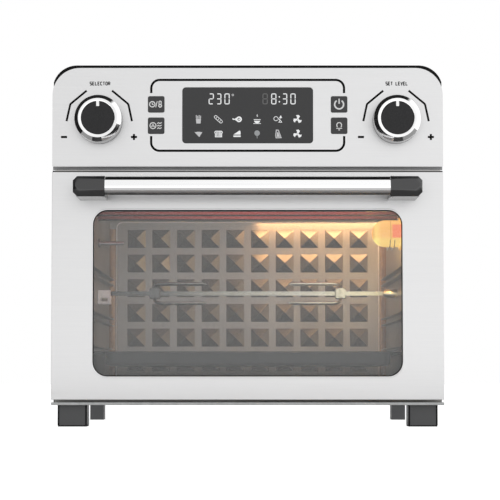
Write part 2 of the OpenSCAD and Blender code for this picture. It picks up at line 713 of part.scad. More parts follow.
// Curved check arms, centred on the hinge, that slide through the front frame
module door_arms() color("#a8aaac") both_sides() translate([arm_x, hinge_y, hinge_z]) {
    sweep = arm_top_angle - arm_tail_angle;
    rotate([0, 90, 0]) rotate([0, 0, 90 + arm_tail_angle]) rotate_extrude(angle = sweep, $fn = 128)
        translate([arm_r - arm_w / 2, -arm_t / 2]) square([arm_w, arm_t]);
    // Stop pin at the tail
    rotate([0, 90, 0]) rotate([0, 0, 90 + stop_pin_angle]) translate([arm_r, 0, -4]) cylinder(h = 8, r = 1.5);
    // Foot riveted to the front of the inner frame
    translate([-4, inner_plate_y - hinge_y - 1.4, 66]) cube([8, 1.4, 18]);
}

module hinge_pins() color("#bfc1c4") both_sides()
    along_x(hinge_x - 8, hinge_y, hinge_z) cylinder(h = 16, r = hinge_r);

module hinge_brackets() color("#8e9092") both_sides() difference() {
    union() {
        along_x(hinge_x - 1, hinge_y, hinge_z) cylinder(h = 2, r = 5.2);
        translate([hinge_x - 1, hinge_y, hinge_z - 5.2]) cube([2, frame_y - hinge_y, 10.4]);
        translate([hinge_x - 5, frame_y - 2, hinge_z - 12]) cube([10, 2, 17.2]);
    }
    along_x(hinge_x - 2, hinge_y, hinge_z) cylinder(h = 4, r = hinge_r + 0.05);
}

module hinge_springs() color("#9a9c9f") both_sides()
    translate([hinge_x + 1.6, hinge_y, hinge_z]) rotate([0, 90, 0]) {
        coil_r = 3.9;
        wire_r = 0.5;
        turns = 2;
        pitch = 1.1;
        coil_spring(turns, pitch, coil_r, wire_r);
        translate([coil_r, 0, 0]) rotate([-90, 0, 0]) cylinder(h = 14.9, r = wire_r);
        translate([coil_r, 0, turns * pitch]) rotate([90, 0, 0]) cylinder(h = 3.2, r = wire_r);
    }

// ---------- handle ----------

module handle_bar() color("#d6d7d9") difference() {
    along_x(-bracket_x0 - 12, bar_y, bar_z) cylinder(h = 2 * (bracket_x0 + 12), r = bar_d / 2);
    along_x(-bracket_x0 - 13, bar_y, bar_z) cylinder(h = 2 * (bracket_x0 + 13), r = bar_d / 2 - 1.5);
}

// Plastic end block: a chamfered head that takes the bar, and a leg that narrows to the door
module handle_brackets() color("#333436") both_sides() difference() {
    w = bracket_x1 - bracket_x0;
    h = bracket_h;
    c = 4;
    hull() {
        slab(front_y - handle_reach, 1) translate([bracket_x0, bar_z - h / 2 + 2]) square([w - 5, h - 4]);
        slab(front_y - handle_reach + 2, 18) translate([bracket_x0, bar_z - h / 2])
            polygon([[0, 0], [w - c, 0], [w, c], [w, h - c], [w - c, h], [0, h]]);
        slab(front_y - 1, 1) translate([bracket_x0 + 2, bar_z - h / 2 + 0.5]) square([w - 8, h - 1]);
    }
    along_x(bracket_x0 - 1, bar_y, bar_z) cylinder(h = 13.2, r = bar_d / 2 + 0.03);
    along_y(bracket_x0 + 16, front_y - 14, bar_z) cylinder(h = 20, r = 1.8);
}

module handle_screws() color("#77797c") both_sides()
    translate([bracket_x0 + 16, front_y + skin_t + 2, bar_z]) rotate([90, 0, 0]) screw(3.8, 2, 1.75, 13);

// ---------- choose what to draw ----------

outer_wrap();
rear_panel();
base_plate();
front_frame();
control_fascia();
fascia_trim();
display_lens();
control_board();
encoder_bodies();
power_board();
heat_shield();
cavity_floor();
cavity_ceiling();
cavity_left_wall();
cavity_right_wall();
cavity_back_wall();
rack_rails();
upper_heaters();
lower_heaters();
heater_insulators();
drip_pan();
lamp_housing();
lamp_bulb();
lamp_lens();
rotisserie_support();
rotisserie_motor();
fan_housing();
fan_motor();
temperature_probe();
thermal_cutout();
hinge_brackets();
hinge_springs();
front_feet();
rear_feet();
cord_gland();
rear_spacers();
case_screws();
door_skin();
door_glass();
door_inner_frame();
door_arms();
hinge_pins();
handle_bar();
handle_brackets();
handle_screws();
knob_left_skirt();
knob_left_face();
knob_right_skirt();
knob_right_face();
button_time_temp();
button_fan_mode();
button_power();
button_light();
spit_rod();
spit_forks();
fork_screws();
drive_socket();
convection_fan();
cooling_fan();
fan_shaft();
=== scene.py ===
"""Looks of the toaster oven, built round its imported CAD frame, in metres on the CAD's own axes."""

import math

import bmesh
import bpy
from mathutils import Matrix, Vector


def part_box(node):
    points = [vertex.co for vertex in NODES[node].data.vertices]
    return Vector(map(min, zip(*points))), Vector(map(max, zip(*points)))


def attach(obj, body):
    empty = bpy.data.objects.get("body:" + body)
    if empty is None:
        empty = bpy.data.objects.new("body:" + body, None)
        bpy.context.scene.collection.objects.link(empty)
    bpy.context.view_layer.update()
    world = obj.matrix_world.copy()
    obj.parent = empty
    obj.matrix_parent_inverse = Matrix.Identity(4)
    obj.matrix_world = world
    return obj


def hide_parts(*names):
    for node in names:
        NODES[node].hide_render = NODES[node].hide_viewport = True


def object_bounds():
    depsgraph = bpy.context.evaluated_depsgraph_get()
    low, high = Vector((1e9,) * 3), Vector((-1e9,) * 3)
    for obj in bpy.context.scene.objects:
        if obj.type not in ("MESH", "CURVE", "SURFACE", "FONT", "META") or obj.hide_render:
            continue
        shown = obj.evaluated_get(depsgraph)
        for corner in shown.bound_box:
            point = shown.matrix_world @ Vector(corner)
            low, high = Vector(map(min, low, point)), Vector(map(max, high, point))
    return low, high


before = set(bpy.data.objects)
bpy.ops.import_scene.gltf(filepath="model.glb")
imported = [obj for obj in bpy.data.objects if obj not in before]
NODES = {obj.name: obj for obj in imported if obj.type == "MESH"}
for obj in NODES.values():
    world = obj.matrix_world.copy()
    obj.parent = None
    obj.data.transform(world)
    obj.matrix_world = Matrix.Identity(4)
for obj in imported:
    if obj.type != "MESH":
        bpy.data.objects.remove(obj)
CAD_LOW, CAD_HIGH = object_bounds()
MM = 0.001
SIDES = ((-1, "left"), (1, "right"))


# ---------- places, all taken from the frame ----------

def middle(node):
    low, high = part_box(node)
    return (low + high) / 2


FASCIA_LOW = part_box("control_fascia")[0]
SKIN_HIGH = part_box("door_skin")[1]
GLASS_LOW, GLASS_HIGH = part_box("door_glass")
LENS_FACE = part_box("display_lens")[0].y
FRONT = FASCIA_LOW.y
GLASS_REBATE = 7 * MM
WINDOW_R = 15 * MM
WINDOW_X = GLASS_HIGH.x - GLASS_REBATE
WINDOW_Z0 = GLASS_LOW.z + GLASS_REBATE
WINDOW_Z1 = GLASS_HIGH.z - GLASS_REBATE
CAVITY_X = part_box("cavity_right_wall")[0].x
CAVITY_Z0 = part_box("cavity_floor")[1].z
CAVITY_Z1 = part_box("cavity_ceiling")[0].z
BACK_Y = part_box("cavity_back_wall")[1].y - 0.8 * MM


# ---------- node helpers for materials ----------

STEEPEST = 0.6  # how far the normals of the pressed studs' faces lean


class Shader:
    """A Principled material with a few procedural layers, placed in the frame's own coordinates."""

    def __init__(self, name, rough=0.5, metallic=0.0, **constants):
        self.material = bpy.data.materials.new(name)
        self.material.use_nodes = True
        self.tree = self.material.node_tree
        self.tree.nodes.clear()
        output = self.node("OutputMaterial")
        self.bsdf = self.node("BsdfPrincipled")
        self.link(self.bsdf.outputs[0], output.inputs[0])
        self.bsdf.inputs["Roughness"].default_value = rough
        self.bsdf.inputs["Metallic"].default_value = metallic
        for socket, value in constants.items():
            self.bsdf.inputs[socket.replace("_", " ")].default_value = value
        source = self.node("TexCoord")
        self.coordinates = source.outputs["Object"]
        self.normal = source.outputs["Normal"]
        self.height = None

    def node(self, kind):
        return self.tree.nodes.new("ShaderNode" + kind)

    def link(self, source, target):
        self.tree.links.new(source, target)

    def noise(self, scale, stretch=(1, 1, 1), detail=4.0):
        """Noise with this many features a metre, pulled out along the axes with a small stretch."""
        mapping = self.node("Mapping")
        mapping.inputs["Scale"].default_value = [scale * s for s in stretch]
        texture = self.node("TexNoise")
        texture.inputs["Scale"].default_value = 1.0
        texture.inputs["Detail"].default_value = detail
        texture.inputs["Roughness"].default_value = 0.55
        self.link(self.coordinates, mapping.inputs["Vector"])
        self.link(mapping.outputs["Vector"], texture.inputs["Vector"])
        return texture.outputs["Fac"]

    def ramp(self, fac, *stops):
        """Colours at positions along fac, each as (position, colour). A lone number is a grey."""
        node = self.node("ValToRGB")
        self.link(fac, node.inputs["Fac"])
        elements = node.color_ramp.elements
        while len(elements) < len(stops):
            elements.new(0.5)
        for element, (position, colour) in zip(elements, stops):
            element.position = position
            element.color = (*rgb(colour), 1.0)
        return node.outputs["Color"]

    def span(self, fac, low, high, start=0.3, end=0.7):
        """fac from start to end, as a number from low to high."""
        node = self.node("MapRange")
        self.link(fac, node.inputs["Value"])
        for socket, value in zip(("From Min", "From Max", "To Min", "To Max"), (start, end, low, high)):
            node.inputs[socket].default_value = value
        return node.outputs["Result"]

    def part(self, source, axis, start, end):
        """One coordinate of a vector, as a number from 0 at start to 1 at end."""
        node = self.node("SeparateXYZ")
        self.link(source, node.inputs[0])
        return self.span(node.outputs[axis], 0.0, 1.0, start, end)

    def along(self, axis, start, end):
        """Place along one of the frame's axes, from 0 at start to 1 at end, in metres."""
        return self.part(self.coordinates, axis, start, end)

    def facing(self, axis):
        """Lean of the surface along one axis: 0 against it, 0.5 across it and 1 with it."""
        return self.part(self.normal, axis, -STEEPEST, STEEPEST)

    def mix(self, fac, a, b, kind="MIX"):
        """Two colours mixed by fac, a number or a socket. Each colour is a socket or three numbers."""
        node = self.node("Mix")
        node.data_type = "RGBA"
        node.blend_type = kind
        sockets = [s for s in node.inputs if s.type == "RGBA"]
        factor = next(s for s in node.inputs if s.type == "VALUE" and s.enabled)
        for socket, value in ((factor, fac), (sockets[0], a), (sockets[1], b)):
            if isinstance(value, bpy.types.NodeSocket):
                self.link(value, socket)
            else:
                socket.default_value = (*value, 1.0) if isinstance(value, tuple) else value
        return next(s for s in node.outputs if s.type == "RGBA")

    def layered(self, first, *others):
        """Colours multiplied together."""
        for other in others:
            first = self.mix(1.0, first, other, "MULTIPLY")
        return first

    def times(self, a, b):
        node = self.node("Math")
        node.operation = "MULTIPLY"
        self.link(a, node.inputs[0])
        self.link(b, node.inputs[1])
        return node.outputs[0]

    def colour(self, *layers):
        self.link(self.layered(*layers), self.bsdf.inputs["Base Color"])

    def rough(self, fac, low, high):
        self.link(self.span(fac, low, high), self.bsdf.inputs["Roughness"])

    def glow(self, strength, *layers):
        self.link(self.layered(*layers), self.bsdf.inputs["Emission Color"])
        self.bsdf.inputs["Emission Strength"].default_value = strength

    def bump(self, source, strength, distance):
        """Adds relief to what earlier calls added."""
        node = self.node("Bump")
        node.inputs["Strength"].default_value = strength
        node.inputs["Distance"].default_value = distance
        self.link(source, node.inputs["Height"])
        if self.height is not None:
            self.link(self.height, node.inputs["Normal"])
        self.height = node.outputs["Normal"]
        self.link(self.height, self.bsdf.inputs["Normal"])


def rgb(colour):
    """A colour as three numbers. A lone number is a grey."""
    return colour if isinstance(colour, tuple) else (colour,) * 3


def shade(colour, factor):
    """A colour made lighter or darker, kept within 1."""
    return tuple(min(1.0, c * factor) for c in rgb(colour))


def grained(name, colour, rough, metallic=0.0, grain=900, stretch=(1, 1, 1), contrast=0.08, relief=0.15,
            **constants):
    """A surface with fine grain, slow cloudy variation and matching roughness and relief."""
    shader = Shader(name, rough, metallic, **constants)
    fine = shader.noise(grain, stretch)
    slow = shader.noise(14)
    base = shader.ramp(fine, (0.3, shade(colour, 1 - contrast)), (0.7, shade(colour, 1 + contrast)))
    cloud = shader.ramp(slow, (0.35, 1 - contrast / 2), (0.65, 1.0))
    shader.colour(base, cloud)
    shader.rough(slow, rough * 0.88, rough * 1.12)
    if relief:
        shader.bump(fine, relief, 0.05 * MM)
    return shader


def brushed_steel():
    """Stainless sheet brushed along X, with faint long streaks."""
    shader = Shader("brushed_steel", 0.34, 1.0, Anisotropic=0.35)
    hair = shader.noise(1500, (0.012, 0.012, 1), 5.0)
    streak = shader.noise(260, (0.02, 0.02, 1), 3.0)
    base = shader.ramp(hair, (0.25, (0.76, 0.76, 0.765)), (0.75, (0.79, 0.79, 0.792)))
    cloud = shader.ramp(streak, (0.3, 0.988), (0.7, 1.0))
    shader.colour(base, cloud)
    shader.rough(hair, 0.30, 0.40)
    shader.bump(hair, 0.06, 0.03 * MM)
    return shader


def plating(name, rough, node, axis, grain, stretch, *stops):
    """Bright plating with painted shade: it passes through these greys from a node's low side to its high
    side.
    """
    shader = Shader(name, rough, 1.0)
    low, high = (corner["XYZ".index(axis)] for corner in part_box(node))
    base = shader.ramp(shader.noise(grain, stretch), (0.3, (0.96, 0.96, 0.965)), (0.7, 1.0))
    shader.colour(base, shader.ramp(shader.along(axis, low, high), *stops))
    return shader


def handle_tube_painted_shade():
    """Polished tube, bright over the front, with painted shade on its lower part: dark at the bottom, then
    lighter, then a grey band just under the bright front.
    """
    return plating("handle_tube_painted_shade", 0.09, "handle_bar", "Z", 700, (0.02, 1, 1),
                   (0.0, 0.30), (0.12, 0.60), (0.22, 0.85), (0.27, 0.42), (0.33, 0.42), (0.355, 1.0))


def knob_plate():
    """Bright plating of the knob skirts, with painted shade towards the panel that stands for their
    reflection of the shaded gap.
    """
    return plating("knob_plate", 0.06, "knob_left_skirt", "Y", 400, (1, 1, 1),
                   (0.21, 1.0), (0.25, 0.40), (0.60, 0.22), (0.90, 0.03))


def satin_sheet(name, dark, light):
    """Satin aluminised sheet with handling marks: its shader, base colour and slow noise."""
    shader = Shader(name, 0.36, 0.5)
    fine = shader.noise(700, (1, 1, 0.15))
    slow = shader.noise(9)
    shader.rough(slow, 0.30, 0.42)
    shader.bump(fine, 0.12, 0.04 * MM)
    return shader, shader.ramp(fine, (0.3, dark), (0.7, light)), slow


def cavity_sheet():
    """Walls of the cooking space, with a little heat tint."""
    shader, base, slow = satin_sheet("cavity_sheet", (0.295, 0.295, 0.288), (0.34, 0.34, 0.332))
    shader.colour(base, shader.ramp(slow, (0.4, 1.0), (0.7, (0.96, 0.93, 0.88))))
    return shader


def pressed_panel():
    """Back panel of the cooking space, with painted shade on the faces of its pressed studs, darkest on those
    turned down and to the left.
    """
    shader, base, _ = satin_sheet("pressed_panel", (0.42, 0.425, 0.42), (0.475, 0.48, 0.475))
    # painted shade on each stud face, set by which way it is turned
    painted_facet_shade = [shader.ramp(shader.facing(axis), (0.12, against), (0.42, 1.0), (0.58, 1.0), (0.88, along))
             for axis, against, along in (("Z", 0.20, 0.62), ("X", 0.36, 0.88))]
    shader.colour(base, *painted_facet_shade)
    return shader


def spit_steel():
    """Steel of the spit, with painted lamp light: darker at its far end, and brighter and yellower towards
    the lamp.
    """
    shader = Shader("spit_steel", 0.26, 1.0)
    grain = shader.noise(500)
    # painted lamp light along the spit: dark at the far end, bright yellow at the lamp's end
    tint = shader.ramp(shader.along("X", -CAVITY_X, CAVITY_X), (0.0, 0.07), (0.22, (0.13, 0.13, 0.125)),
                       (0.7, (0.62, 0.60, 0.50)), (1.0, (1.0, 0.95, 0.62)))
    worn = shader.ramp(grain, (0.3, 0.85), (0.7, 1.0))
    shader.colour(tint, worn)
    shader.bump(grain, 0.15, 0.05 * MM)
    return shader


def heater_rod():
    """Metal-sheathed rod: oxide mottling, painted shade along its underside on both its colour and its glow,
    and a red glow that fades to both ends.
    """
    shader = Shader("element_hot", 0.55, 0.4)
    glow = (0.46, 0.040, 0.030)
    mottle = shader.noise(400)
    bottom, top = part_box("upper_heaters")
    # painted shade along the rods' undersides, dark at the bottom
    under = shader.ramp(shader.along("Z", bottom.z, top.z), (0.20, 0.03), (0.34, 0.8), (0.6, 0.9), (0.9, 1.0))
    sheath = shader.ramp(mottle, (0.3, (0.07, 0.020, 0.016)), (0.7, (0.15, 0.040, 0.032)))
    shader.colour(sheath, under)
    shader.bump(mottle, 0.2, 0.06 * MM)
    stops = [(place, shade(glow, share)) for place, share in
             ((0.03, 0.12), (0.14, 0.4), (0.5, 1.0), (0.80, 0.85), (0.97, 0.15))]
    warmth = shader.ramp(shader.along("X", -CAVITY_X, CAVITY_X), *stops)
    shader.glow(0.62, warmth, under)
    return shader


def glass(name, colour, alpha, rough=0.03):
    """Thin glass with faint smears: mostly clear, with a slight bloom of its own colour."""
    shader = Shader(name, rough, 0.0, Alpha=alpha)
    smear = shader.noise(18, (1, 1, 0.5))
    shader.colour(shader.ramp(smear, (0.3, shade(colour, 0.96)), (0.7, colour)))
    shader.rough(smear, rough, rough * 3)
    return shader


def lamp_jar():
    """Warm glass jar lit from within, with a seam, and its orange holder showing at the wall's end."""
    shader = Shader("lamp_jar", 0.15, 0.0, Alpha=0.93)
    low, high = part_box("lamp_lens")
    middle_z = (low.z + high.z) / 2
    seam = low.x + 19.6 * MM
    body = shader.ramp(shader.along("X", low.x, seam), (0.0, (0.66, 0.30, 0.06)), (0.2, (0.96, 0.64, 0.17)),
                       (0.5, (0.88, 0.46, 0.12)), (1.0, (0.86, 0.44, 0.11)))
    vault = shader.ramp(shader.along("Z", low.z, high.z), (0.0, (0.62, 0.55, 0.5)), (0.14, (1.0, 1.3, 1.4)),
                        (0.30, (1.0, 1.25, 1.3)), (0.40, 1.0), (0.85, 1.0), (1.0, (0.8, 0.72, 0.66)))
    beyond = shader.along("X", seam + 1.2 * MM, seam + 2.2 * MM)
    over = shader.along("Z", middle_z - 5.6 * MM, middle_z - 4.8 * MM)
    under = shader.along("Z", middle_z + 9.6 * MM, middle_z + 8.6 * MM)
    holder = shader.times(beyond, shader.times(over, under))
    line = shader.ramp(shader.along("X", seam - 1.0 * MM, seam + 1.0 * MM), (0.25, 1.0),
                       (0.5, (0.5, 0.42, 0.3)), (0.75, 1.0))
    warm = shader.mix(holder, shader.layered(body, vault), (0.86, 0.22, 0.10))
    shader.colour(shader.ramp(shader.noise(90), (0.3, (0.020, 0.014, 0.008)), (0.7, (0.030, 0.020, 0.010))))
    shader.glow(1.06, warm, line)
    return shader


def glowing(name, colour, strength):
    """Lit display segment, with a slight unevenness in its light."""
    shader = Shader(name, 0.4)
    patch = shader.noise(350)
    shader.colour(shader.ramp(patch, (0.3, shade(colour, 0.04)), (0.7, shade(colour, 0.06))))
    shader.glow(strength, shader.ramp(patch, (0.3, shade(colour, 0.92)), (0.7, colour)))
    return shader


def circuit_board():
    """Solder mask with copper runs showing through as slightly lighter lines."""
    shader = Shader("circuit_board_mask", 0.35)
    runs = shader.noise(300, (1, 1, 0.1), 1.0)
    shader.colour(shader.ramp(runs, (0.48, (0.02, 0.09, 0.05)), (0.52, (0.04, 0.16, 0.09))))
    shader.bump(runs, 0.3, 0.05 * MM)
    return shader


FINISHES = {
    "steel_brushed": brushed_steel(),
    "case_paint": grained("powder_coat", (0.030, 0.030, 0.032), 0.42, grain=1600, relief=0.5),
    "galvanised": grained("galvanised", (0.47, 0.48, 0.48), 0.38, 0.9, grain=160, contrast=0.12),
    "cavity_steel": cavity_sheet(),
    "trim_black": grained("trim_gloss", 0.003, 0.35, contrast=0.1, relief=0.05, IOR=1.2),
    "display_glass": grained("display_smoke", (0.034, 0.034, 0.035), 0.22, contrast=0.04, relief=0.0,
        IOR=1.4),
    "circuit_board": circuit_board(),
    "plated_steel": grained("nickel_plate", (0.72, 0.72, 0.73), 0.26, 1.0, grain=500, contrast=0.06),
    "element_hot": heater_rod(),
    "element_cold": grained("element_cold", 0.11, 0.55, 0.4, grain=400, contrast=0.35, relief=0.2),
    "ceramic": grained("ceramic_glaze", (0.78, 0.75, 0.68), 0.3, grain=300, contrast=0.05),
    "enamel": grained("black_enamel", (0.016, 0.016, 0.017), 0.30, grain=250, contrast=0.2, relief=0.1,
        IOR=1.35),
    "bulb_glass": glowing("bulb_light", (1.0, 0.82, 0.42), 1.6),
    "lamp_glass": lamp_jar(),
    "door_glass": glass("door_pane", (0.86, 0.88, 0.88), 0.074),
    "polished_steel": grained("polished_steel", (0.98, 0.98, 0.985), 0.09, 1.0, grain=700,
        stretch=(0.02, 1, 1), contrast=0.03, relief=0.02),
    "aluminium": grained("cast_aluminium", (0.66, 0.67, 0.68), 0.36, 1.0, grain=600, contrast=0.08),
    "motor_steel": grained("motor_lacquer", (0.30, 0.31, 0.32), 0.4, 0.7, grain=500, contrast=0.1),
    "plastic_dark": grained("foot_plastic", (0.068, 0.069, 0.071), 0.5, grain=2200, contrast=0.12,
        relief=0.5),
    "plastic_black": grained("satin_black", (0.020, 0.020, 0.021), 0.45, grain=2000, contrast=0.15,
        relief=0.4),
    "bracket_plastic": grained("handle_plastic", (0.010, 0.010, 0.011), 0.19, grain=1800, contrast=0.1,
        relief=0.12, IOR=1.75),
    "button_plastic": grained("button_plastic", (0.026, 0.026, 0.027), 0.4, grain=1500, relief=0.2),
    "knob_metal": knob_plate(),
    "knob_cap": grained("knob_cap", (0.022, 0.022, 0.023), 0.55, grain=1200, contrast=0.25, relief=0.5,
        IOR=1.3),
    "screw_zinc": grained("zinc_screw", (0.45, 0.45, 0.46), 0.3, 1.0, grain=800, contrast=0.1),
}
INK = grained("panel_ink", 0.003, 0.6, contrast=0.3, relief=0.1, IOR=1.15)
ICON_INK = grained("icon_ink", 0.66, 0.5, contrast=0.1, relief=0.1)
POINTER_INK = grained("pointer_white", 0.86, 0.4, contrast=0.04, relief=0.05)
RUBBER = grained("rubber_pad", (0.008, 0.008, 0.009), 0.7, grain=1500, contrast=0.2, relief=0.5, IOR=1.25)
# Black for thin strips at gaps: at the window's edge, round the knobs and along the door's top; round the
# knobs and along the door's top it is painted shadow.
GAP_BLACK = grained("gap_black", (0.010, 0.010, 0.011), 0.5, contrast=0.2, relief=0.2, IOR=1.3)
# Grey for the strip on the oven over the door: painted shade in the gap.
GAP_SHADE_GREY = grained("gap_shade_grey", (0.30, 0.30, 0.305), 0.6, contrast=0.1, relief=0.3)
LIT = glowing("display_lit", (0.92, 0.93, 0.94), 0.86)
SEMI_LIT = glowing("display_semi_lit", (0.55, 0.55, 0.56), 0.90)
DIM = glowing("display_dim", (0.30, 0.31, 0.32), 0.90)
GHOST = glowing("display_ghost", 0.115, 0.90)
SPIT_STEEL = spit_steel()
RAIL_STEEL = grained("rail_steel", 0.26, 0.32, 1.0, grain=500, contrast=0.12)
BRIGHT_ZINC = grained("bright_zinc", 0.95, 0.4, 0.0, grain=500, contrast=0.08)
STRIP_STEEL = grained("strip_steel", (0.36, 0.26, 0.18), 0.48, 0.8, grain=300, contrast=0.15)
NODE_FINISHES = {
    "handle_bar": handle_tube_painted_shade(), "cavity_back_wall": pressed_panel(),
    "rack_rails": RAIL_STEEL, "temperature_probe": RAIL_STEEL, "spit_rod": SPIT_STEEL,
    "fork_screws": SPIT_STEEL, "drive_socket": SPIT_STEEL, "rotisserie_support": BRIGHT_ZINC,
}


# ---------- mesh helpers ----------

SMOOTH_BELOW = math.radians(32)


def add_object(name, data):
    made = bpy.data.objects.new(name, data)
    bpy.context.scene.collection.objects.link(made)
    return made


def add_mesh(name, mesh, finish):
    """Turns a bmesh in frame coordinates into an object."""
    data = bpy.data.meshes.new(name)
    mesh.to_mesh(data)
    mesh.free()
    data.materials.append(finish.material)
    return add_object(name, data)


def piece(name, mesh, slot, body, finish=None, replaces=()):
    """A named piece that rides on a CAD body, in its slot's own finish unless another is given."""
    bmesh.ops.remove_doubles(mesh, verts=mesh.verts, dist=0.002 * MM)
    bmesh.ops.recalc_face_normals(mesh, faces=mesh.faces)
    for face in mesh.faces:
        face.smooth = True
    for edge in mesh.edges:
        edge.smooth = len(edge.link_faces) == 2 and edge.calc_face_angle(0) < SMOOTH_BELOW
    made = add_mesh(name, mesh, finish or FINISHES[slot])
    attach(made, body)
    if replaces:
        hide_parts(*replaces)
    return made


def loft(mesh, rings, closed=False, wrapped=True, capped=True):
    """Skins rings in order. closed joins the last ring to the first, wrapped the two ends of each."""
    made = [[mesh.verts.new(p) for p in ring] for ring in rings]
    pairs = list(zip(made, made[1:] + made[:1]))
    for a, b in pairs if closed else pairs[:-1]:
        for i in range(len(a) if wrapped else len(a) - 1):
            j = (i + 1) % len(a)
            mesh.faces.new((a[i], a[j], b[j], b[i]))
    if capped and not closed:
        mesh.faces.new(made[0])
        mesh.faces.new(list(reversed(made[-1])))


def polar(r, angle):
    """A point at this distance and angle in degrees."""
    a = math.radians(angle)
    return r * math.cos(a), r * math.sin(a)


def arc(cx, cz, r, start, end, steps=10):
    """Points along an arc, angles in degrees, counted from +X towards +Z."""
    points = [polar(r, start + (end - start) * i / steps) for i in range(steps + 1)]
    return [(cx + x, cz + z) for x, z in points]


def rounded(cx, cz, w, h, r, steps=8):
    """Outline of a rectangle with round corners."""
    points = []
    for quarter, (sx, sz) in enumerate(((1, 1), (-1, 1), (-1, -1), (1, -1))):
        start = 90 * quarter
        points += arc(cx + sx * (w / 2 - r), cz + sz * (h / 2 - r), r, start, start + 90, steps)
    return points


def at_depth(outline, y):
    return [Vector((x, y, z)) for x, z in outline]


def at_side(outline, x):
    return [Vector((x, y, z)) for y, z in outline]


def at_height(outline, z):
    return [Vector((x, y, z)) for x, y in outline]


def lathe(mesh, profile, centre, steps=96):
    """Turns (radius, depth) pairs in millimetres about an axis through centre that runs along Y."""
    rings = []
    for k in range(steps):
        turned = [(polar(r, 360 * k / steps), y) for r, y in profile]
        rings.append([centre + MM * Vector((x, y, z)) for (x, z), y in turned])
    loft(mesh, rings, closed=True, wrapped=False)


def block(mesh, low, high, bevel, segments=2):
    """A box with rounded edges, between two corners."""
    low, high = Vector(low), Vector(high)
    made = bmesh.ops.create_cube(mesh, size=1.0)["verts"]
    bmesh.ops.scale(mesh, vec=high - low, verts=made)
    bmesh.ops.translate(mesh, vec=(low + high) / 2, verts=made)
    edges = list({e for v in made for e in v.link_edges})
    bmesh.ops.bevel(mesh, geom=edges, offset=bevel, segments=segments, affect="EDGES", profile=0.6)


def wire(mesh, path, radius, sides=8, tip=1.0):
    """A round wire swept along points. tip is the share of the radius left at its last point."""
    rings = []
    across = (path[1] - path[0]).orthogonal()
    for i, p in enumerate(path):
        along = (path[min(i + 1, len(path) - 1)] - path[max(i - 1, 0)]).normalized()
        across = (across - along * across.dot(along)).normalized()
        other = along.cross(across)
        r = radius * (tip if i == len(path) - 1 else 1.0)
        rings.append([p + across * x + other * y for x, y in arc(0, 0, r, 0, 360 - 360 / sides, sides - 1)])
    loft(mesh, rings)


class Sketch:
    """Flat artwork seen from the front, made as thin closed plates between two depths."""

    def __init__(self, front, back):
        self.mesh = bmesh.new()
        self.depths = (front, back)
        self.at(0, 0, 1)

    def at(self, x, z, unit):
        """Sets where the artwork's own origin lies and how long its unit is."""
        self.origin = (x, z)
        self.unit = unit
        return self

    def place(self, point, y):
        x, z = self.origin
        return x + point[0] * self.unit, y, z + point[1] * self.unit

    def strip(self, left, right):
        """A plate between two rows of points that run side by side."""
        front, back = self.depths
        rings = [[self.place(a, front), self.place(b, front), self.place(b, back), self.place(a, back)]
                 for a, b in zip(left, right)]
        loft(self.mesh, rings, capped=left[0] != left[-1])

    def line(self, points, width, closed=False):
        """A stroke with mitred corners."""
        row = [Vector(p) for p in points]
        if closed:
            row = [row[-1], *row, row[0]]
        sides = ([], [])
        for i, p in enumerate(row):
            before = (p - row[i - 1]).normalized() if i else None
            after = (row[i + 1] - p).normalized() if i + 1 < len(row) else None
            before, after = before or after, after or before
            bisector = (before + after).normalized()
            across = Vector((-bisector.y, bisector.x))
            reach = width / 2 / max(0.35, across.dot(Vector((-after.y, after.x))))
            sides[0].append(tuple(p + across * reach))
            sides[1].append(tuple(p - across * reach))
        if closed:
            sides = [side[1:-1] + side[1:2] for side in sides]
        self.strip(*sides)

    def fill(self, points):
        """A solid plate with this outline."""
        loft(self.mesh, [[self.place(p, y) for p in points] for y in self.depths])

    def disc(self, x, z, r):
        self.fill(arc(x, z, r, 0, 345, 23))

    def ring(self, x, z, r, width):
        self.line(arc(x, z, r, 0, 345, 23), width, closed=True)


# ---------- carried-over CAD nodes ----------

EDGE_ROUNDING = {
    0.2: ("case_screws",),
    0.25: ("door_inner_frame",),
    0.3: ("base_plate", "control_fascia", "door_skin", "front_frame", "door_arms", "hinge_brackets",
          "fascia_trim"),
    0.4: ("display_lens", "rack_rails", "fork_screws", "drive_socket", "cavity_back_wall",
          "temperature_probe"),
    0.5: ("spit_rod", "rear_feet"),
    0.6: ("spit_forks", "rotisserie_support"),
    0.7: ("button_time_temp", "button_fan_mode", "button_power", "button_light"),
    0.8: ("rear_spacers", "cord_gland"),
}


def soften(node, width):
    """Rounds a CAD node's sharp edges with modifiers. The mesh itself stays as it is."""
    weld = node.modifiers.new("weld", "WELD")
    weld.merge_threshold = 0.005 * MM
    bevel = node.modifiers.new("edges", "BEVEL")
    bevel.width = width * MM
    bevel.segments = 2
    bevel.limit_method = "ANGLE"
    bevel.angle_limit = math.radians(40)
    bevel.harden_normals = True


def dress_cad_nodes():
    """Gives every CAD node its finish, and soft edges where they show."""
    for name, node in NODES.items():
        slot = node.data.materials[0].name.split(".")[0]
        node.data.materials[0] = NODE_FINISHES.get(name, FINISHES[slot]).material
    for width, names in EDGE_ROUNDING.items():
        for name in names:
            soften(NODES[name], width)
    NODES["lamp_lens"].visible_shadow = False


# ---------- door ----------

def window_outline(offset):
    """The window's outline, grown outwards by offset."""
    height = WINDOW_Z1 - WINDOW_Z0
    return rounded(0, WINDOW_Z0 + height / 2, 2 * (WINDOW_X + offset), height + 2 * offset, WINDOW_R + offset)


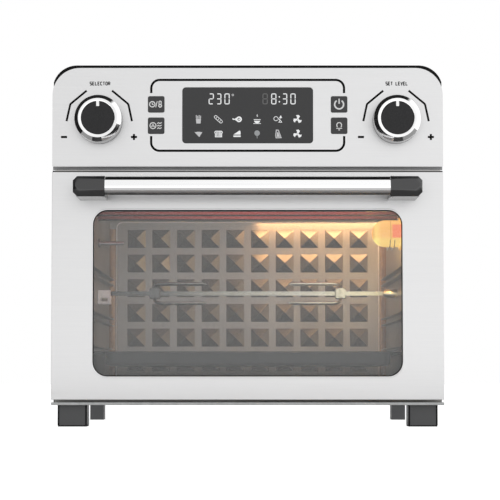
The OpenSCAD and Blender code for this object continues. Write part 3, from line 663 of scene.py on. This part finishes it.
def window_edge():
    """Rolled lip of the door skin round the window, and a thin dark border on the glass behind it."""
    lip = ((1.5, -0.02), (0.9, -0.16), (0.4, -0.10), (0.05, 0.15), (0.0, 1.0), (0.6, 0.9), (1.3, 0.3))
    border = ((0.3, -0.06), (-1.0, -0.06), (-1.0, -0.01), (0.3, -0.01))
    for name, profile, face, slot, finish in (
            ("window_edge", lip, FRONT, "steel_brushed", None),
            ("window_border", border, GLASS_LOW.y, "plastic_black", GAP_BLACK)):
        mesh = bmesh.new()
        loft(mesh, [at_depth(window_outline(o * MM), face + d * MM) for o, d in profile], closed=True)
        piece(name, mesh, slot, "door", finish)


def fascia_fold():
    """Folded lower edge of the control panel's sheet."""
    x = SKIN_HIGH.x - 0.1 * MM
    z = FASCIA_LOW.z
    mesh = bmesh.new()
    block(mesh, (-x, FRONT + 0.05 * MM, z - 0.7 * MM), (x, FRONT + 1.6 * MM, z + 0.3 * MM), 0.15 * MM)
    piece("fascia_bottom_fold", mesh, "steel_brushed", "oven")


def door_gap_lip_and_shade():
    """Folded lip along the door's top with a black strip under it, and a grey strip on the oven over it: the
    two strips are painted shade in the gap.
    """
    x = SKIN_HIGH.x - 0.3 * MM
    top = SKIN_HIGH.z
    for name, slot, body, finish, z0, z1, d0, d1 in (
            ("door_top_gap_shade", "plastic_black", "door", GAP_BLACK, -0.2, 1.3, 2.0, 4.0),
            ("door_top_lip", "plated_steel", "door", None, 1.2, 2.5, 2.6, 4.6),
            ("oven_front_gap_shade", "plastic_dark", "oven", GAP_SHADE_GREY, 2.9, 7.2, 5.0, 8.0)):
        mesh = bmesh.new()
        block(mesh, (-x, FRONT + d0 * MM, top + z0 * MM), (x, FRONT + d1 * MM, top + z1 * MM), 0.25 * MM)
        piece(name, mesh, slot, body, finish)


# In millimetres: how far the end block's top, bottom and outer side are pulled in, and the depth
HANDLE_END_ROWS = ((4.4, 5.4, 3.4, 0.0), (3.6, 4.6, 2.6, 0.0), (3.1, 4.1, 2.1, 0.4), (0.0, -0.4, 0.0, 3.7),
                   (0.0, -1.3, 0.0, 4.6), (0.0, -1.3, 0.0, 30.0), (-0.3, -1.8, -0.3, 41.4))


def handle_ends():
    """Plastic end blocks with chamfered corners, two collars round the bar and a foot on the door."""
    low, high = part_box("handle_brackets")
    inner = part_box("handle_bar")[1].x - 12 * MM
    centre_z = (low.z + high.z) / 2
    half_h = (high.z - low.z) / 2
    cut = 4.2 * MM

    def section(side, top, bottom, outer, y):
        x1 = high.x - outer * MM
        z1 = half_h - top * MM
        z0 = bottom * MM - half_h
        shape = [(inner, z0), (x1 - cut, z0), (x1, z0 + cut), (x1, z1 - cut), (x1 - cut, z1), (inner, z1)]
        return [Vector((side * x, low.y + (y + 0.2) * MM, centre_z + z)) for x, z in shape]

    for side, name in SIDES:
        mesh = bmesh.new()
        loft(mesh, [section(side, *row) for row in HANDLE_END_ROWS])
        for x0, x1, grow in ((0.4, 1.2, 0.35), (2.6, 3.2, 0.25)):
            near = low.y + (0.4 - grow) * MM
            far = low.y + 22 * MM
            reach = half_h + grow * MM
            top = centre_z + reach
            bottom = centre_z - reach - 1.3 * MM
            collar = [(near + 3.7 * MM, top), (near, centre_z + half_h - 3.6 * MM),
                      (near, centre_z - half_h + 4.6 * MM), (near + 4.6 * MM, bottom),
                      (far, bottom), (far, top)]
            loft(mesh, [at_side(collar, side * (inner + x * MM)) for x in (x0, x1)])
        piece(f"handle_end_{name}", mesh, "bracket_plastic", "door", replaces=("handle_brackets",))


def handle_top_painted_reflection():
    """Thin black strip along the top of the bar, thickest at the crown: a painted reflection of the dark
    studio above.
    """
    low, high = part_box("handle_bar")
    centre = (low + high) / 2
    radius = (high.z - low.z) / 2
    angles = [40 + 5 * i for i in range(21)]
    crown = [max(0.0, min(1.0, (polar(1, a)[1] - 0.68) / 0.2)) for a in angles]
    outer = [polar(radius + (0.12 + 0.5 * c) * MM, a) for c, a in zip(crown, angles)]
    inner = [polar(radius - 0.4 * MM, a) for a in reversed(angles)]
    outline = [(centre.y - y, centre.z + z) for y, z in outer + inner]
    end = high.x - 12.5 * MM
    mesh = bmesh.new()
    loft(mesh, [at_side(outline, x) for x in (-end, end)])
    piece("handle_bar_painted_reflection", mesh, "trim_black", "door")


# ---------- controls ----------

def knob(side):
    """Plated skirt with a bright front ring, a black cap with a white pointer, and a black ring in the gap
    round them on the panel: painted shadow.
    """
    skirt = f"knob_{side}_skirt"
    face = f"knob_{side}_face"
    body = f"{side}_knob"
    low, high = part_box(skirt)
    centre = middle(skirt)
    centre.y = low.y
    base = (high.y - low.y) / MM
    outer = (high.x - low.x) / 2 / MM
    bore = 16.95
    ring = 20.0
    cap = 16.8
    slope = math.tan(math.radians(46.5))
    rise = outer - 0.15 - ring
    near = rise - 0.12
    plated = [(bore, 3.2), (bore, 0.9), (bore + 0.12, 0.35), (bore + 0.45, 0.08), (bore + 0.8, 0.0),
              (ring, 0.0), (ring + near, near * slope), (ring + rise, rise * slope),
              (outer, rise * slope + 0.4), (outer, base - 0.6), (outer - 0.5, base), (outer - 4, base)]
    dish = [(0, 0.95), (5, 0.93), (12, 0.80), (cap - 0.9, 0.66), (cap - 0.3, 0.78), (cap, 1.2), (cap, 3)]
    for node, profile, slot in ((skirt, plated, "knob_metal"), (face, dish, "knob_cap")):
        mesh = bmesh.new()
        lathe(mesh, profile, centre)
        piece(f"{node}_detail", mesh, slot, body, replaces=(node,))
    mark = Sketch(centre.y + 0.25 * MM, centre.y + 1.2 * MM).at(centre.x, centre.z, MM)
    mark.fill([(-1.5, 17.3), (-1.5, 12.3), (-1.1, 11.8), (1.1, 11.8), (1.5, 12.3), (1.5, 17.3)])
    piece(f"knob_{side}_pointer", mark.mesh, "knob_metal", body, POINTER_INK)
    # A thin black ring lying on the panel round the skirt's base: painted shadow where the knob meets the
    # panel.
    gap = [(outer - 1.5, -0.25), (outer + 0.05, -0.25), (outer + 0.05, -0.03), (outer - 1.5, -0.03)]
    mesh = bmesh.new()
    lathe(mesh, gap, Vector((centre.x, FRONT, centre.z)))
    piece(f"knob_{side}_gap", mesh, "plastic_black", "oven", GAP_BLACK)


LETTERS = {
    "S": [[(2, 3.6), (1.6, 4), (0.4, 4), (0, 3.6), (0, 2.4), (0.4, 2), (1.6, 2), (2, 1.6), (2, 0.4), (1.6, 0),
           (0.4, 0), (0, 0.4)]],
    "E": [[(2, 4), (0, 4), (0, 0), (2, 0)], [(0, 2), (1.6, 2)]],
    "L": [[(0, 4), (0, 0), (2, 0)]],
    "C": [[(2, 3.4), (1.5, 4), (0.5, 4), (0, 3.4), (0, 0.6), (0.5, 0), (1.5, 0), (2, 0.6)]],
    "T": [[(0, 4), (2, 4)], [(1, 4), (1, 0)]],
    "O": [[(0.5, 0), (0, 0.6), (0, 3.4), (0.5, 4), (1.5, 4), (2, 3.4), (2, 0.6), (1.5, 0), (0.5, 0)]],
    "R": [[(0, 0), (0, 4), (1.6, 4), (2, 3.5), (2, 2.5), (1.6, 2), (0, 2)], [(1, 2), (2, 0)]],
    "V": [[(0, 4), (1, 0), (2, 4)]],
    " ": [],
}


def words(art, text, x, z, width, height):
    """Plain stroke letters centred on a point."""
    unit = height / 4
    pitch = width / len(text)
    for i, letter in enumerate(text):
        art.at(x - width / 2 + i * pitch + (pitch - 2 * unit) / 2, z - height / 2, unit)
        for stroke in LETTERS[letter]:
            art.line(stroke, 1.05)


def dial_marks(art, x, z):
    """Bent scale lines on both sides of a knob, with a minus and a plus under them."""
    art.at(x, z, MM)
    for side in (-1, 1):
        art.line([(side * px, pz) for px, pz in
                  ((13.0, 30.8), (28.8, 17.7), (29.6, 16.8), (30.0, 15.7), (33.5, -0.7))], 2.1)
    art.line([(-39.1, -17.0), (-32.9, -17.0)], 2.3)
    art.line([(32.5, -17.0), (38.7, -17.0)], 2.2)
    art.line([(35.6, -20.1), (35.6, -13.9)], 2.1)


def panel_print():
    """Ink on the control panel: frame round the display, dial marks and two plain words."""
    ink_depths = (FRONT - 0.06 * MM, FRONT - 0.01 * MM)
    half_w = 98.8
    half_h = 36.5
    corner = 8.6
    centre = middle("display_lens")
    art = Sketch(*ink_depths).at(centre.x, centre.z, MM)
    for top, gap in ((1, 22.9), (-1, -21.4)):
        z = top * half_h
        left = arc(-half_w + corner, z - top * corner, corner, 180, 180 - top * 90)
        right = arc(half_w - corner, z - top * corner, corner, top * 90, 0)
        art.line([(-half_w, gap), *left, *right, (half_w, gap)], 2.35)
    piece("panel_frame_print", art.mesh, "plastic_black", "oven", INK)
    for side, text, width, shift in (("left", "SELECTOR", 21.5, 0.6), ("right", "SET LEVEL", 23.1, 0.8)):
        centre = middle(f"knob_{side}_skirt")
        art = Sketch(*ink_depths)
        dial_marks(art, centre.x, centre.z)
        words(art, text, centre.x + shift * MM, centre.z + 38.1 * MM, width * MM, 3.2 * MM)
        piece(f"dial_print_{side}", art.mesh, "plastic_black", "oven", INK)


SEGMENTS = {"0": "abcdef", "2": "abged", "3": "abgcd", "8": "abcdefg"}


def digit(art, number, x, z):
    """Seven-segment figure with its lower left corner at a point, in millimetres from the art's origin."""
    w = 4.4
    h = 10.3
    m = h / 2
    c = 0.7
    ends = {"a": ((c, h), (w - c, h)), "b": ((w, h - c), (w, m + 0.4)), "c": ((w, m - 0.4), (w, c)),
            "d": ((c, 0), (w - c, 0)), "e": ((0, c), (0, m - 0.4)), "f": ((0, m + 0.4), (0, h - c)),
            "g": ((0.5, m), (w - 0.5, m))}
    for segment in SEGMENTS[number]:
        art.line([(x + px, z + pz) for px, pz in ends[segment]], 1.0)
    for name, (px, pz) in {"af": (0.25, h - 0.25), "ab": (w - 0.25, h - 0.25), "de": (0.25, 0.25),
                           "cd": (w - 0.25, 0.25)}.items():
        if set(name) <= set(SEGMENTS[number]):
            art.disc(x + px, z + pz, 0.52)


# Pictograms for the display, each drawn round its own middle within about one unit each way

def fries(art):
    art.fill([(-0.60, 0.1), (-0.5, -1.0), (0.5, -1.0), (0.60, 0.1)])
    for i in range(4):
        x = -0.48 + 0.32 * i
        art.line([(x, 0.15), (x * 1.1, 1.0 - 0.14 * (i % 2))], 0.2)


def sausage(art):
    art.line(arc(-0.62, 0.56, 0.34, 45, 225, 6) + arc(0.62, -0.56, 0.34, 225, 405, 6), 0.13, closed=True)
    for t in (-0.42, 0.0, 0.42):
        art.line([(t - 0.10, -t * 0.93 - 0.16), (t + 0.10, -t * 0.93 + 0.14)], 0.12)


def drumstick(art):
    art.line([*arc(0.38, 0.0, 0.52, -165, 165, 18), (-0.3, 0.13), (-0.3, -0.13)], 0.34, closed=True)
    art.disc(0.42, 0.0, 0.2)
    art.line([(-1.1, 0.0), (-0.35, 0.0)], 0.24)
    art.disc(-1.05, 0.1, 0.15)


def hot_cup(art):
    art.fill(arc(0.0, -0.22, 0.74, 190, 350, 12))
    art.line([(-0.82, -0.06), (0.82, -0.06)], 0.15)
    art.line([(-0.9, -1.02), (0.9, -1.02)], 0.12)
    art.line([(0.0, 0.62), (0.12, 0.8), (-0.04, 0.98), (0.08, 1.15)], 0.13)


def fish(art):
    art.line(arc(-0.45, 0.15, 0.5, 30, 330, 12), 0.13)
    art.line([(-0.02, 0.4), (0.35, -0.15), (0.75, 0.55)], 0.14)
    art.fill([(0.3, 0.35), (0.72, 0.98), (1.0, 0.3)])
    art.line([(0.25, -0.7), (0.6, -0.2), (0.95, -0.7)], 0.14, closed=True)


def fan_blades(art):
    blade = ((0.16, -75), (0.50, -32), (0.92, -26), (1.08, 4), (1.02, 36), (0.74, 30), (0.46, 28), (0.24, 65))
    for turn in (75, 195, 315):
        art.fill([polar(r, turn + a) for r, a in blade])


def pizza(art):
    art.fill([(-0.95, 0.45), *arc(0.0, -1.75, 2.28, 106, 74, 5), (0.95, 0.45), (0.2, -0.75)])


def bread(art):
    art.line([(-0.70, -0.68), (0.78, -0.68), (0.78, 0.1), *arc(0.6, 0.35, 0.32, -10, 110, 5),
              *arc(-0.52, 0.35, 0.32, 80, 200, 5), (-0.70, 0.1)], 0.2, closed=True)
    for x in (-0.4, -0.08, 0.24, 0.54):
        art.line([(x, -0.52), (x, 0.5)], 0.2)


def cake(art):
    art.fill([(-0.95, -0.15), (0.55, 0.85), (0.75, 0.55), (0.75, -0.15)])
    art.fill([(-0.95, -0.36), (0.78, -0.36), (0.78, -0.72), (-0.95, -0.72)])


def lolly(art):
    art.disc(0.0, 0.2, 0.66)
    art.line([(0.0, -0.45), (0.0, -1.05)], 0.16)


def bag(art):
    art.line([(-0.35, 0.95), (0.12, 0.9), (0.78, -0.88), (-0.42, -0.93), (-0.5, -0.2)], 0.22, closed=True)
    art.fill([(-0.2, 0.4), (0.12, 0.4), (0.5, -0.7), (-0.25, -0.7)])


DISPLAY_ICONS = ((fries, sausage, drumstick, hot_cup, fish, fan_blades),
                 (pizza, bread, cake, lolly, bag, fan_blades))


def display_art():
    """Figures and pictograms in four strengths of light, just in front of the smoked lens."""
    centre = middle("display_lens")
    lit, ghost, dim, semi = (Sketch(LENS_FACE - 0.07 * MM, LENS_FACE - 0.01 * MM).at(centre.x, centre.z, MM)
                             for _ in range(4))
    figure_z = 11.8
    for number, x in (("2", -39.5), ("3", -31.8), ("0", -23.3), ("8", 24.6), ("3", 35.7), ("0", 44.3)):
        digit(lit, number, x, figure_z)
    for z in (2.2, 7.2):
        lit.disc(32.5, figure_z + z, 0.75)
    digit(ghost, "8", 15.7, figure_z)
    semi.ring(-15.2, figure_z + 9.2, 0.9, 0.55)
    weaker = {lolly: dim, fries: semi, bag: semi, pizza: semi}
    for row, z in zip(DISPLAY_ICONS, (-4.1, -19.2)):
        for icon, x in zip(row, (-50.4, -30.0, -10.5, 9.7, 30.9, 51.1)):
            icon(weaker.get(icon, lit).at(centre.x + x * MM, centre.z + z * MM, 4.3 * MM))
    for name, art, finish in (("display_ghost_figure", ghost, GHOST), ("display_figures", lit, LIT),
                              ("display_semi_lit", semi, SEMI_LIT), ("display_dim_icons", dim, DIM)):
        piece(name, art.mesh, "display_glass", "oven", finish)


# Pictograms for the buttons

def clock_and_bulb(art):
    art.ring(-0.52, 0.0, 0.36, 0.13)
    art.line([(-0.52, 0.2), (-0.52, 0.0), (-0.36, -0.06)], 0.11)
    art.line([(-0.06, -0.4), (0.14, 0.4)], 0.1)
    art.line([(0.38, -0.02), (0.38, 0.36), (0.52, 0.44), (0.66, 0.36), (0.66, -0.02)], 0.12)
    art.ring(0.52, -0.2, 0.18, 0.14)


def fan_and_waves(art):
    art.ring(-0.42, 0.0, 0.4, 0.12)
    for x, z in (polar(0.26, 90), polar(0.26, 210), polar(0.26, 330)):
        art.line([(-0.42, 0.0), (x - 0.42, z)], 0.14)
    for z in (-0.34, 0.0, 0.34):
        art.line([(0.14, z - 0.08), (0.32, z + 0.06), (0.50, z - 0.06), (0.74, z + 0.08)], 0.11)


def power_sign(art):
    art.line(arc(0.0, -0.02, 0.5, 124, 416, 20), 0.16)
    art.line([(0.0, 0.05), (0.0, 0.62)], 0.14)


def lamp_sign(art):
    art.line([(-0.24, -0.22), *arc(0.0, 0.08, 0.32, 200, -20, 10), (0.24, -0.22)], 0.12)
    art.line([(-0.38, -0.36), (0.38, -0.36)], 0.1)
    art.line([(-0.1, -0.56), (0.1, -0.56)], 0.12)


def button_icons():
    """A pictogram on each push button, riding on it."""
    for button, icon, size in (("time_temp", clock_and_bulb, 7.7), ("fan_mode", fan_and_waves, 7.7),
                               ("power", power_sign, 9.2), ("light", lamp_sign, 7.8)):
        node = f"button_{button}"
        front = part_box(node)[0].y
        centre = middle(node)
        art = Sketch(front - 0.06 * MM, front + 0.02 * MM).at(centre.x, centre.z, size * MM)
        icon(art)
        piece(f"{node}_icon", art.mesh, "button_plastic", f"{button}_button", ICON_INK)


# ---------- feet ----------

def foot(mesh, x0, x1, y0, y1, height):
    """Moulded foot with round upright edges, drawn in a little where it meets its rubber pad."""
    rings = []
    for z, inset in ((1.2, 0.4), (1.4, 0.1), (2.0, 0.0), (height / MM - 2.0, 0.0), (height / MM, 0.0)):
        trim = 2 * inset * MM
        outline = rounded((x0 + x1) / 2, (y0 + y1) / 2, x1 - x0 - trim, y1 - y0 - trim, 1.6 * MM, 4)
        rings.append(at_height(outline, z * MM))
    loft(mesh, rings)


def feet():
    """Front feet in detail, with black lines of painted shade down the sides of their front faces, and their
    rubber pads.
    """
    low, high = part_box("front_feet")
    width = 30 * MM
    rim = 0.9 * MM
    edge = 0.3 * MM
    pad = 1.3 * MM
    pads = bmesh.new()
    painted_edge_shade = Sketch(low.y - 0.25 * MM, low.y + 0.6 * MM)
    for side, name in SIDES:
        x0, x1 = sorted((side * (high.x - width), side * high.x))
        mesh = bmesh.new()
        foot(mesh, x0, x1, low.y, high.y, high.z)
        piece(f"front_foot_{name}", mesh, "plastic_dark", "oven", replaces=("front_feet",))
        # black lines down both sides of each foot's front face: painted shade at its edges
        for x in (x0 + rim, x1 - rim):
            painted_edge_shade.line([(x, high.z), (x, pad)], 1.7 * MM)
        block(pads, (x0 + edge, low.y + edge, 0), (x1 - edge, high.y - edge, pad), edge)
    piece("front_foot_rims", painted_edge_shade.mesh, "plastic_black", "oven", RUBBER)
    piece("foot_pads", pads, "plastic_black", "oven", RUBBER)


# ---------- cooking space ----------

PANEL_INSET = 8.5 * MM


def back_panel_bead():
    """Pressed line on the back wall, with round upper corners and a painted highlight in its pale colour, and
    hollow strips in both back corners.
    """
    art = Sketch(BACK_Y - 0.9 * MM, BACK_Y + 0.1 * MM)
    x = CAVITY_X - PANEL_INSET
    r = 7 * MM
    bottom = CAVITY_Z0 + 1 * MM
    top = CAVITY_Z1 - 0.8 * MM
    art.line([(-x, bottom), *arc(-x + r, top - r, r, 180, 90, 6), *arc(x - r, top - r, r, 90, 0, 6),
              (x, bottom)], 1.2 * MM)
    # the bead's relief is real; its pale colour, lighter than the panel, is a painted highlight
    piece("back_panel_bead", art.mesh, "plated_steel", "oven", BRIGHT_ZINC)
    radius = PANEL_INSET - 1.2 * MM
    edge = 0.1 * MM
    for side, name in SIDES:
        outline = [(side * (CAVITY_X - radius + px), BACK_Y - radius + py)
                   for px, py in arc(0, 0, radius - 0.2 * MM, 90, 0, 8)]
        outline.append((side * (CAVITY_X - edge), BACK_Y - edge))
        mesh = bmesh.new()
        loft(mesh, [at_height(outline, z) for z in (CAVITY_Z0 + 0.5 * MM, CAVITY_Z1 - 9 * MM)])
        piece(f"corner_strip_{name}", mesh, "galvanised", "oven", STRIP_STEEL)


def drip_pan():
    """Pressed pan with a rolled rim, round corners and a fillet where the walls meet the bottom."""
    low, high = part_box("drip_pan")
    centre = (low + high) / 2
    size = high - low
    depth = size.z / MM
    fillet = 4.0
    rows = [(0.0, -0.9), (-0.1, -0.3), (0.35, 0.0), (1.6, 0.0), (13.0, -0.35), (14.0, -0.6), (14.6, -1.4)]
    rows += [(15.0 + fillet - x, 0.6 + fillet - z - depth) for x, z in arc(0, 0, fillet, 0, 90, 6)]
    rings = []
    for inset, z in rows:
        trim = 2 * inset * MM
        corner = max(4.0, 12.0 - 0.2 * inset) * MM
        outline = rounded(centre.x, centre.y, size.x - trim, size.y - 0.45 * trim, corner, 6)
        rings.append(at_height(outline, high.z + z * MM))
    mesh = bmesh.new()
    loft(mesh, rings, capped=False)
    mesh.faces.new([mesh.verts.new(p) for p in rings[-1]])
    made = piece("drip_pan_detail", mesh, "enamel", "oven", replaces=("drip_pan",))
    solid = made.modifiers.new("thickness", "SOLIDIFY")
    solid.thickness = 0.7 * MM
    solid.offset = -1


def lamp_clip():
    """Wire clip that holds the lamp's jar."""
    lens = middle("lamp_lens")
    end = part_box("lamp_lens")[1].x
    radius = 15.3 * MM

    hook = [(lens.y + radius * y, lens.z + radius * z) for y, z in ((0.9, -0.75), (0.95, -1.1))]
    mesh = bmesh.new()
    for x in (end - 8.6 * MM, end - 13.4 * MM):
        path = at_side(arc(lens.y, lens.z, radius, -150, -30, 12) + hook, x)
        path[-2].x -= 0.5 * MM
        path[-1].x -= 1.0 * MM
        wire(mesh, path, 0.5 * MM)
    piece("lamp_clip", mesh, "plated_steel", "oven")


def spit_forks():
    """Two forks on the spit, each with a hub and four bent prongs that point inwards."""
    low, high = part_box("spit_forks")
    hub = Vector((6, 6, 6)) * MM
    centre = (low + high) / 2
    reach = (high.z - low.z) / 2 - 1.7 * MM
    length = 58 * MM
    bend = ((0.0, 0.45), (0.0, 0.72), (-0.02, 0.86), (-0.07, 0.96), (-0.16, 1.0), (-0.6, 1.0), (-0.9, 0.98),
            (-1.0, 0.97))
    for side, name in SIDES:
        place = Vector((side * (high.x - hub.x), centre.y, centre.z))
        mesh = bmesh.new()
        block(mesh, place - hub, place + hub, 1.6 * MM, 3)
        for turn in (45, 135, 225, 315):
            path = [place + Vector((side * t * length, *polar(r * reach, turn))) for t, r in bend]
            wire(mesh, path, 1.6 * MM, tip=0.15)
        piece(f"spit_fork_{name}", mesh, "polished_steel", "spit", SPIT_STEEL, ("spit_forks",))


# ---------- studio ----------

def studio_world():
    """White surroundings. Shiny surfaces mirror a studio that is dark above and to the left."""
    world = bpy.data.worlds.new("studio")
    bpy.context.scene.world = world
    world.use_nodes = True
    tree = world.node_tree
    tree.nodes.clear()

    def make(kind, *sources, **settings):
        """A node with its first inputs linked or set, and its outputs."""
        node = tree.nodes.new(kind)
        for socket, source in zip(node.inputs, sources):
            if isinstance(source, bpy.types.NodeSocket):
                tree.links.new(source, socket)
            else:
                socket.default_value = source
        for key, value in settings.items():
            setattr(node, key, value)
        return node.outputs

    def remap(source, start, end, low, high, kind="LINEAR"):
        return make("ShaderNodeMapRange", source, start, end, low, high, interpolation_type=kind)[0]

    direction = make("ShaderNodeTexCoord")["Generated"]
    parts = make("ShaderNodeSeparateXYZ", direction)
    behind = remap(parts["Y"], -0.16, -0.02, 0.0, 1.0, "SMOOTHSTEP")
    upper_left = make("ShaderNodeVectorMath", direction, (-0.72, 0.0, 0.70), operation="DOT_PRODUCT")["Value"]
    sector = remap(upper_left, 0.10, 0.28, 0.0, 1.0, "SMOOTHSTEP")
    dark = make("ShaderNodeMath", behind, sector, operation="MULTIPLY")[0]
    brightness = remap(parts["X"], -0.22, 0.22, 0.84, 1.10)
    mirrored = remap(dark, 0.0, 1.0, brightness, 0.015)
    rays = make("ShaderNodeLightPath")
    plain = remap(rays["Is Camera Ray"], 0.0, 1.0, 0.66, 1.0)
    strength = remap(rays["Is Glossy Ray"], 0.0, 1.0, plain, mirrored)
    make("ShaderNodeOutputWorld", make("ShaderNodeBackground", (1, 1, 1, 1), strength)[0])


def area_light(name, place, aim, size, energy, colour=(1, 1, 1), mirrored=False):
    data = bpy.data.lights.new(name, "AREA")
    data.shape = "RECTANGLE"
    data.size, data.size_y = size
    data.energy = energy
    data.color = colour
    light = add_object(name, data)
    light.location = place
    light.rotation_euler = (Vector(aim) - Vector(place)).to_track_quat("-Z", "Y").to_euler()
    light.visible_glossy = mirrored
    light.visible_camera = False


def card(name, corner, side, other_side, grey):
    """Flat card that only mirror-like surfaces see, from one corner and two sides."""
    corners = [Vector(corner) + Vector(side) * i + Vector(other_side) * j
               for i, j in ((0, 0), (1, 0), (1, 1), (0, 1))]
    mesh = bmesh.new()
    mesh.faces.new([mesh.verts.new(p) for p in corners])
    made = add_mesh(name, mesh, grained(f"{name}_paper", grey, 0.9, contrast=0.05, relief=0.0, IOR=1.1))
    made.visible_camera = False
    made.visible_diffuse = False
    made.visible_shadow = False
    made.visible_transmission = False


def oven_lights():
    """The oven's own lamp, its light along the ceiling's back edge, and the glow of the upper rods."""
    lens = middle("lamp_lens")
    lamp = bpy.data.lights.new("oven_lamp", "POINT")
    lamp.energy = 0.4
    lamp.color = (1.0, 0.62, 0.25)
    lamp.shadow_soft_size = 9 * MM
    add_object("oven_lamp", lamp).location = (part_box("lamp_lens")[0].x + 6 * MM, lens.y, lens.z)
    rods_x = -10 * MM
    rods_y = middle("upper_heaters").y
    rods_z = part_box("upper_heaters")[1].z + 0.5 * MM
    area_light("rod_glow_up", (rods_x, rods_y, rods_z), (rods_x, rods_y, 1.0), (300 * MM, 130 * MM), 0.36,
               (1.0, 0.16, 0.12))
    strip_x = 86 * MM
    strip_y = BACK_Y - 14 * MM
    area_light("lamp_bounce", (strip_x, strip_y, CAVITY_Z1 - 0.7 * MM), (strip_x, strip_y, 0.0),
               (150 * MM, 16 * MM), 0.095, (1.0, 0.51, 0.20), mirrored=True)


def studio():
    """Pale floor, soft lights, cards that the steel mirrors, and the oven's own lights."""
    mesh = bmesh.new()
    bmesh.ops.create_grid(mesh, x_segments=8, y_segments=8, size=8.0)
    pale = grained("pale_floor", 0.34, 0.9, grain=60, contrast=0.01, relief=0.0, IOR=1.1,
                   Emission_Color=(1, 1, 1, 1), Emission_Strength=0.90)
    floor = add_mesh("studio_floor", mesh, pale)
    floor.location.z = CAD_LOW.z
    studio_world()
    card("mirror_card_left", (-0.62, -0.5, 0.0), (0, 1.4, 0), (0, 0, 0.46), 0.012)
    card("mirror_card_below", (-0.9, -0.35, 0.001), (1.8, 0, 0), (0, 0.23, 0), 0.36)
    area_light("softbox_top", (0.1, -0.5, 2.4), (0, 0, 0.1), (2.4, 2.4), 14)
    area_light("softbox_right", (1.7, -1.9, 1.1), (0, 0, 0.2), (1.2, 1.2), 6)
    area_light("softbox_left", (-1.8, -1.7, 0.9), (0, 0, 0.2), (1.2, 1.2), 3)
    oven_lights()


def camera():
    """Low camera in front of the door, tilted up a little, with a small shift for the framing."""
    distance = 1.8
    eye_z = 52.6 * MM
    horizon = 0.25
    data = bpy.data.cameras.new("camera")
    data.sensor_width = 36
    data.lens = 127.25
    data.shift_x = 0.0047
    data.shift_y = 0.08
    tilt = math.atan((horizon - data.shift_y) * data.sensor_width / data.lens)
    made = add_object("camera", data)
    made.location = (0, FRONT - distance, eye_z)
    made.rotation_euler = (math.pi / 2 + tilt, 0, 0)
    bpy.context.scene.camera = made


# ---------- build ----------

bpy.context.scene.view_settings.view_transform = "Standard"
camera()
dress_cad_nodes()
window_edge()
fascia_fold()
door_gap_lip_and_shade()
handle_ends()
handle_top_painted_reflection()
for _, side in SIDES:
    knob(side)
panel_print()
display_art()
button_icons()
feet()
back_panel_bead()
drip_pan()
lamp_clip()
spit_forks()
studio()
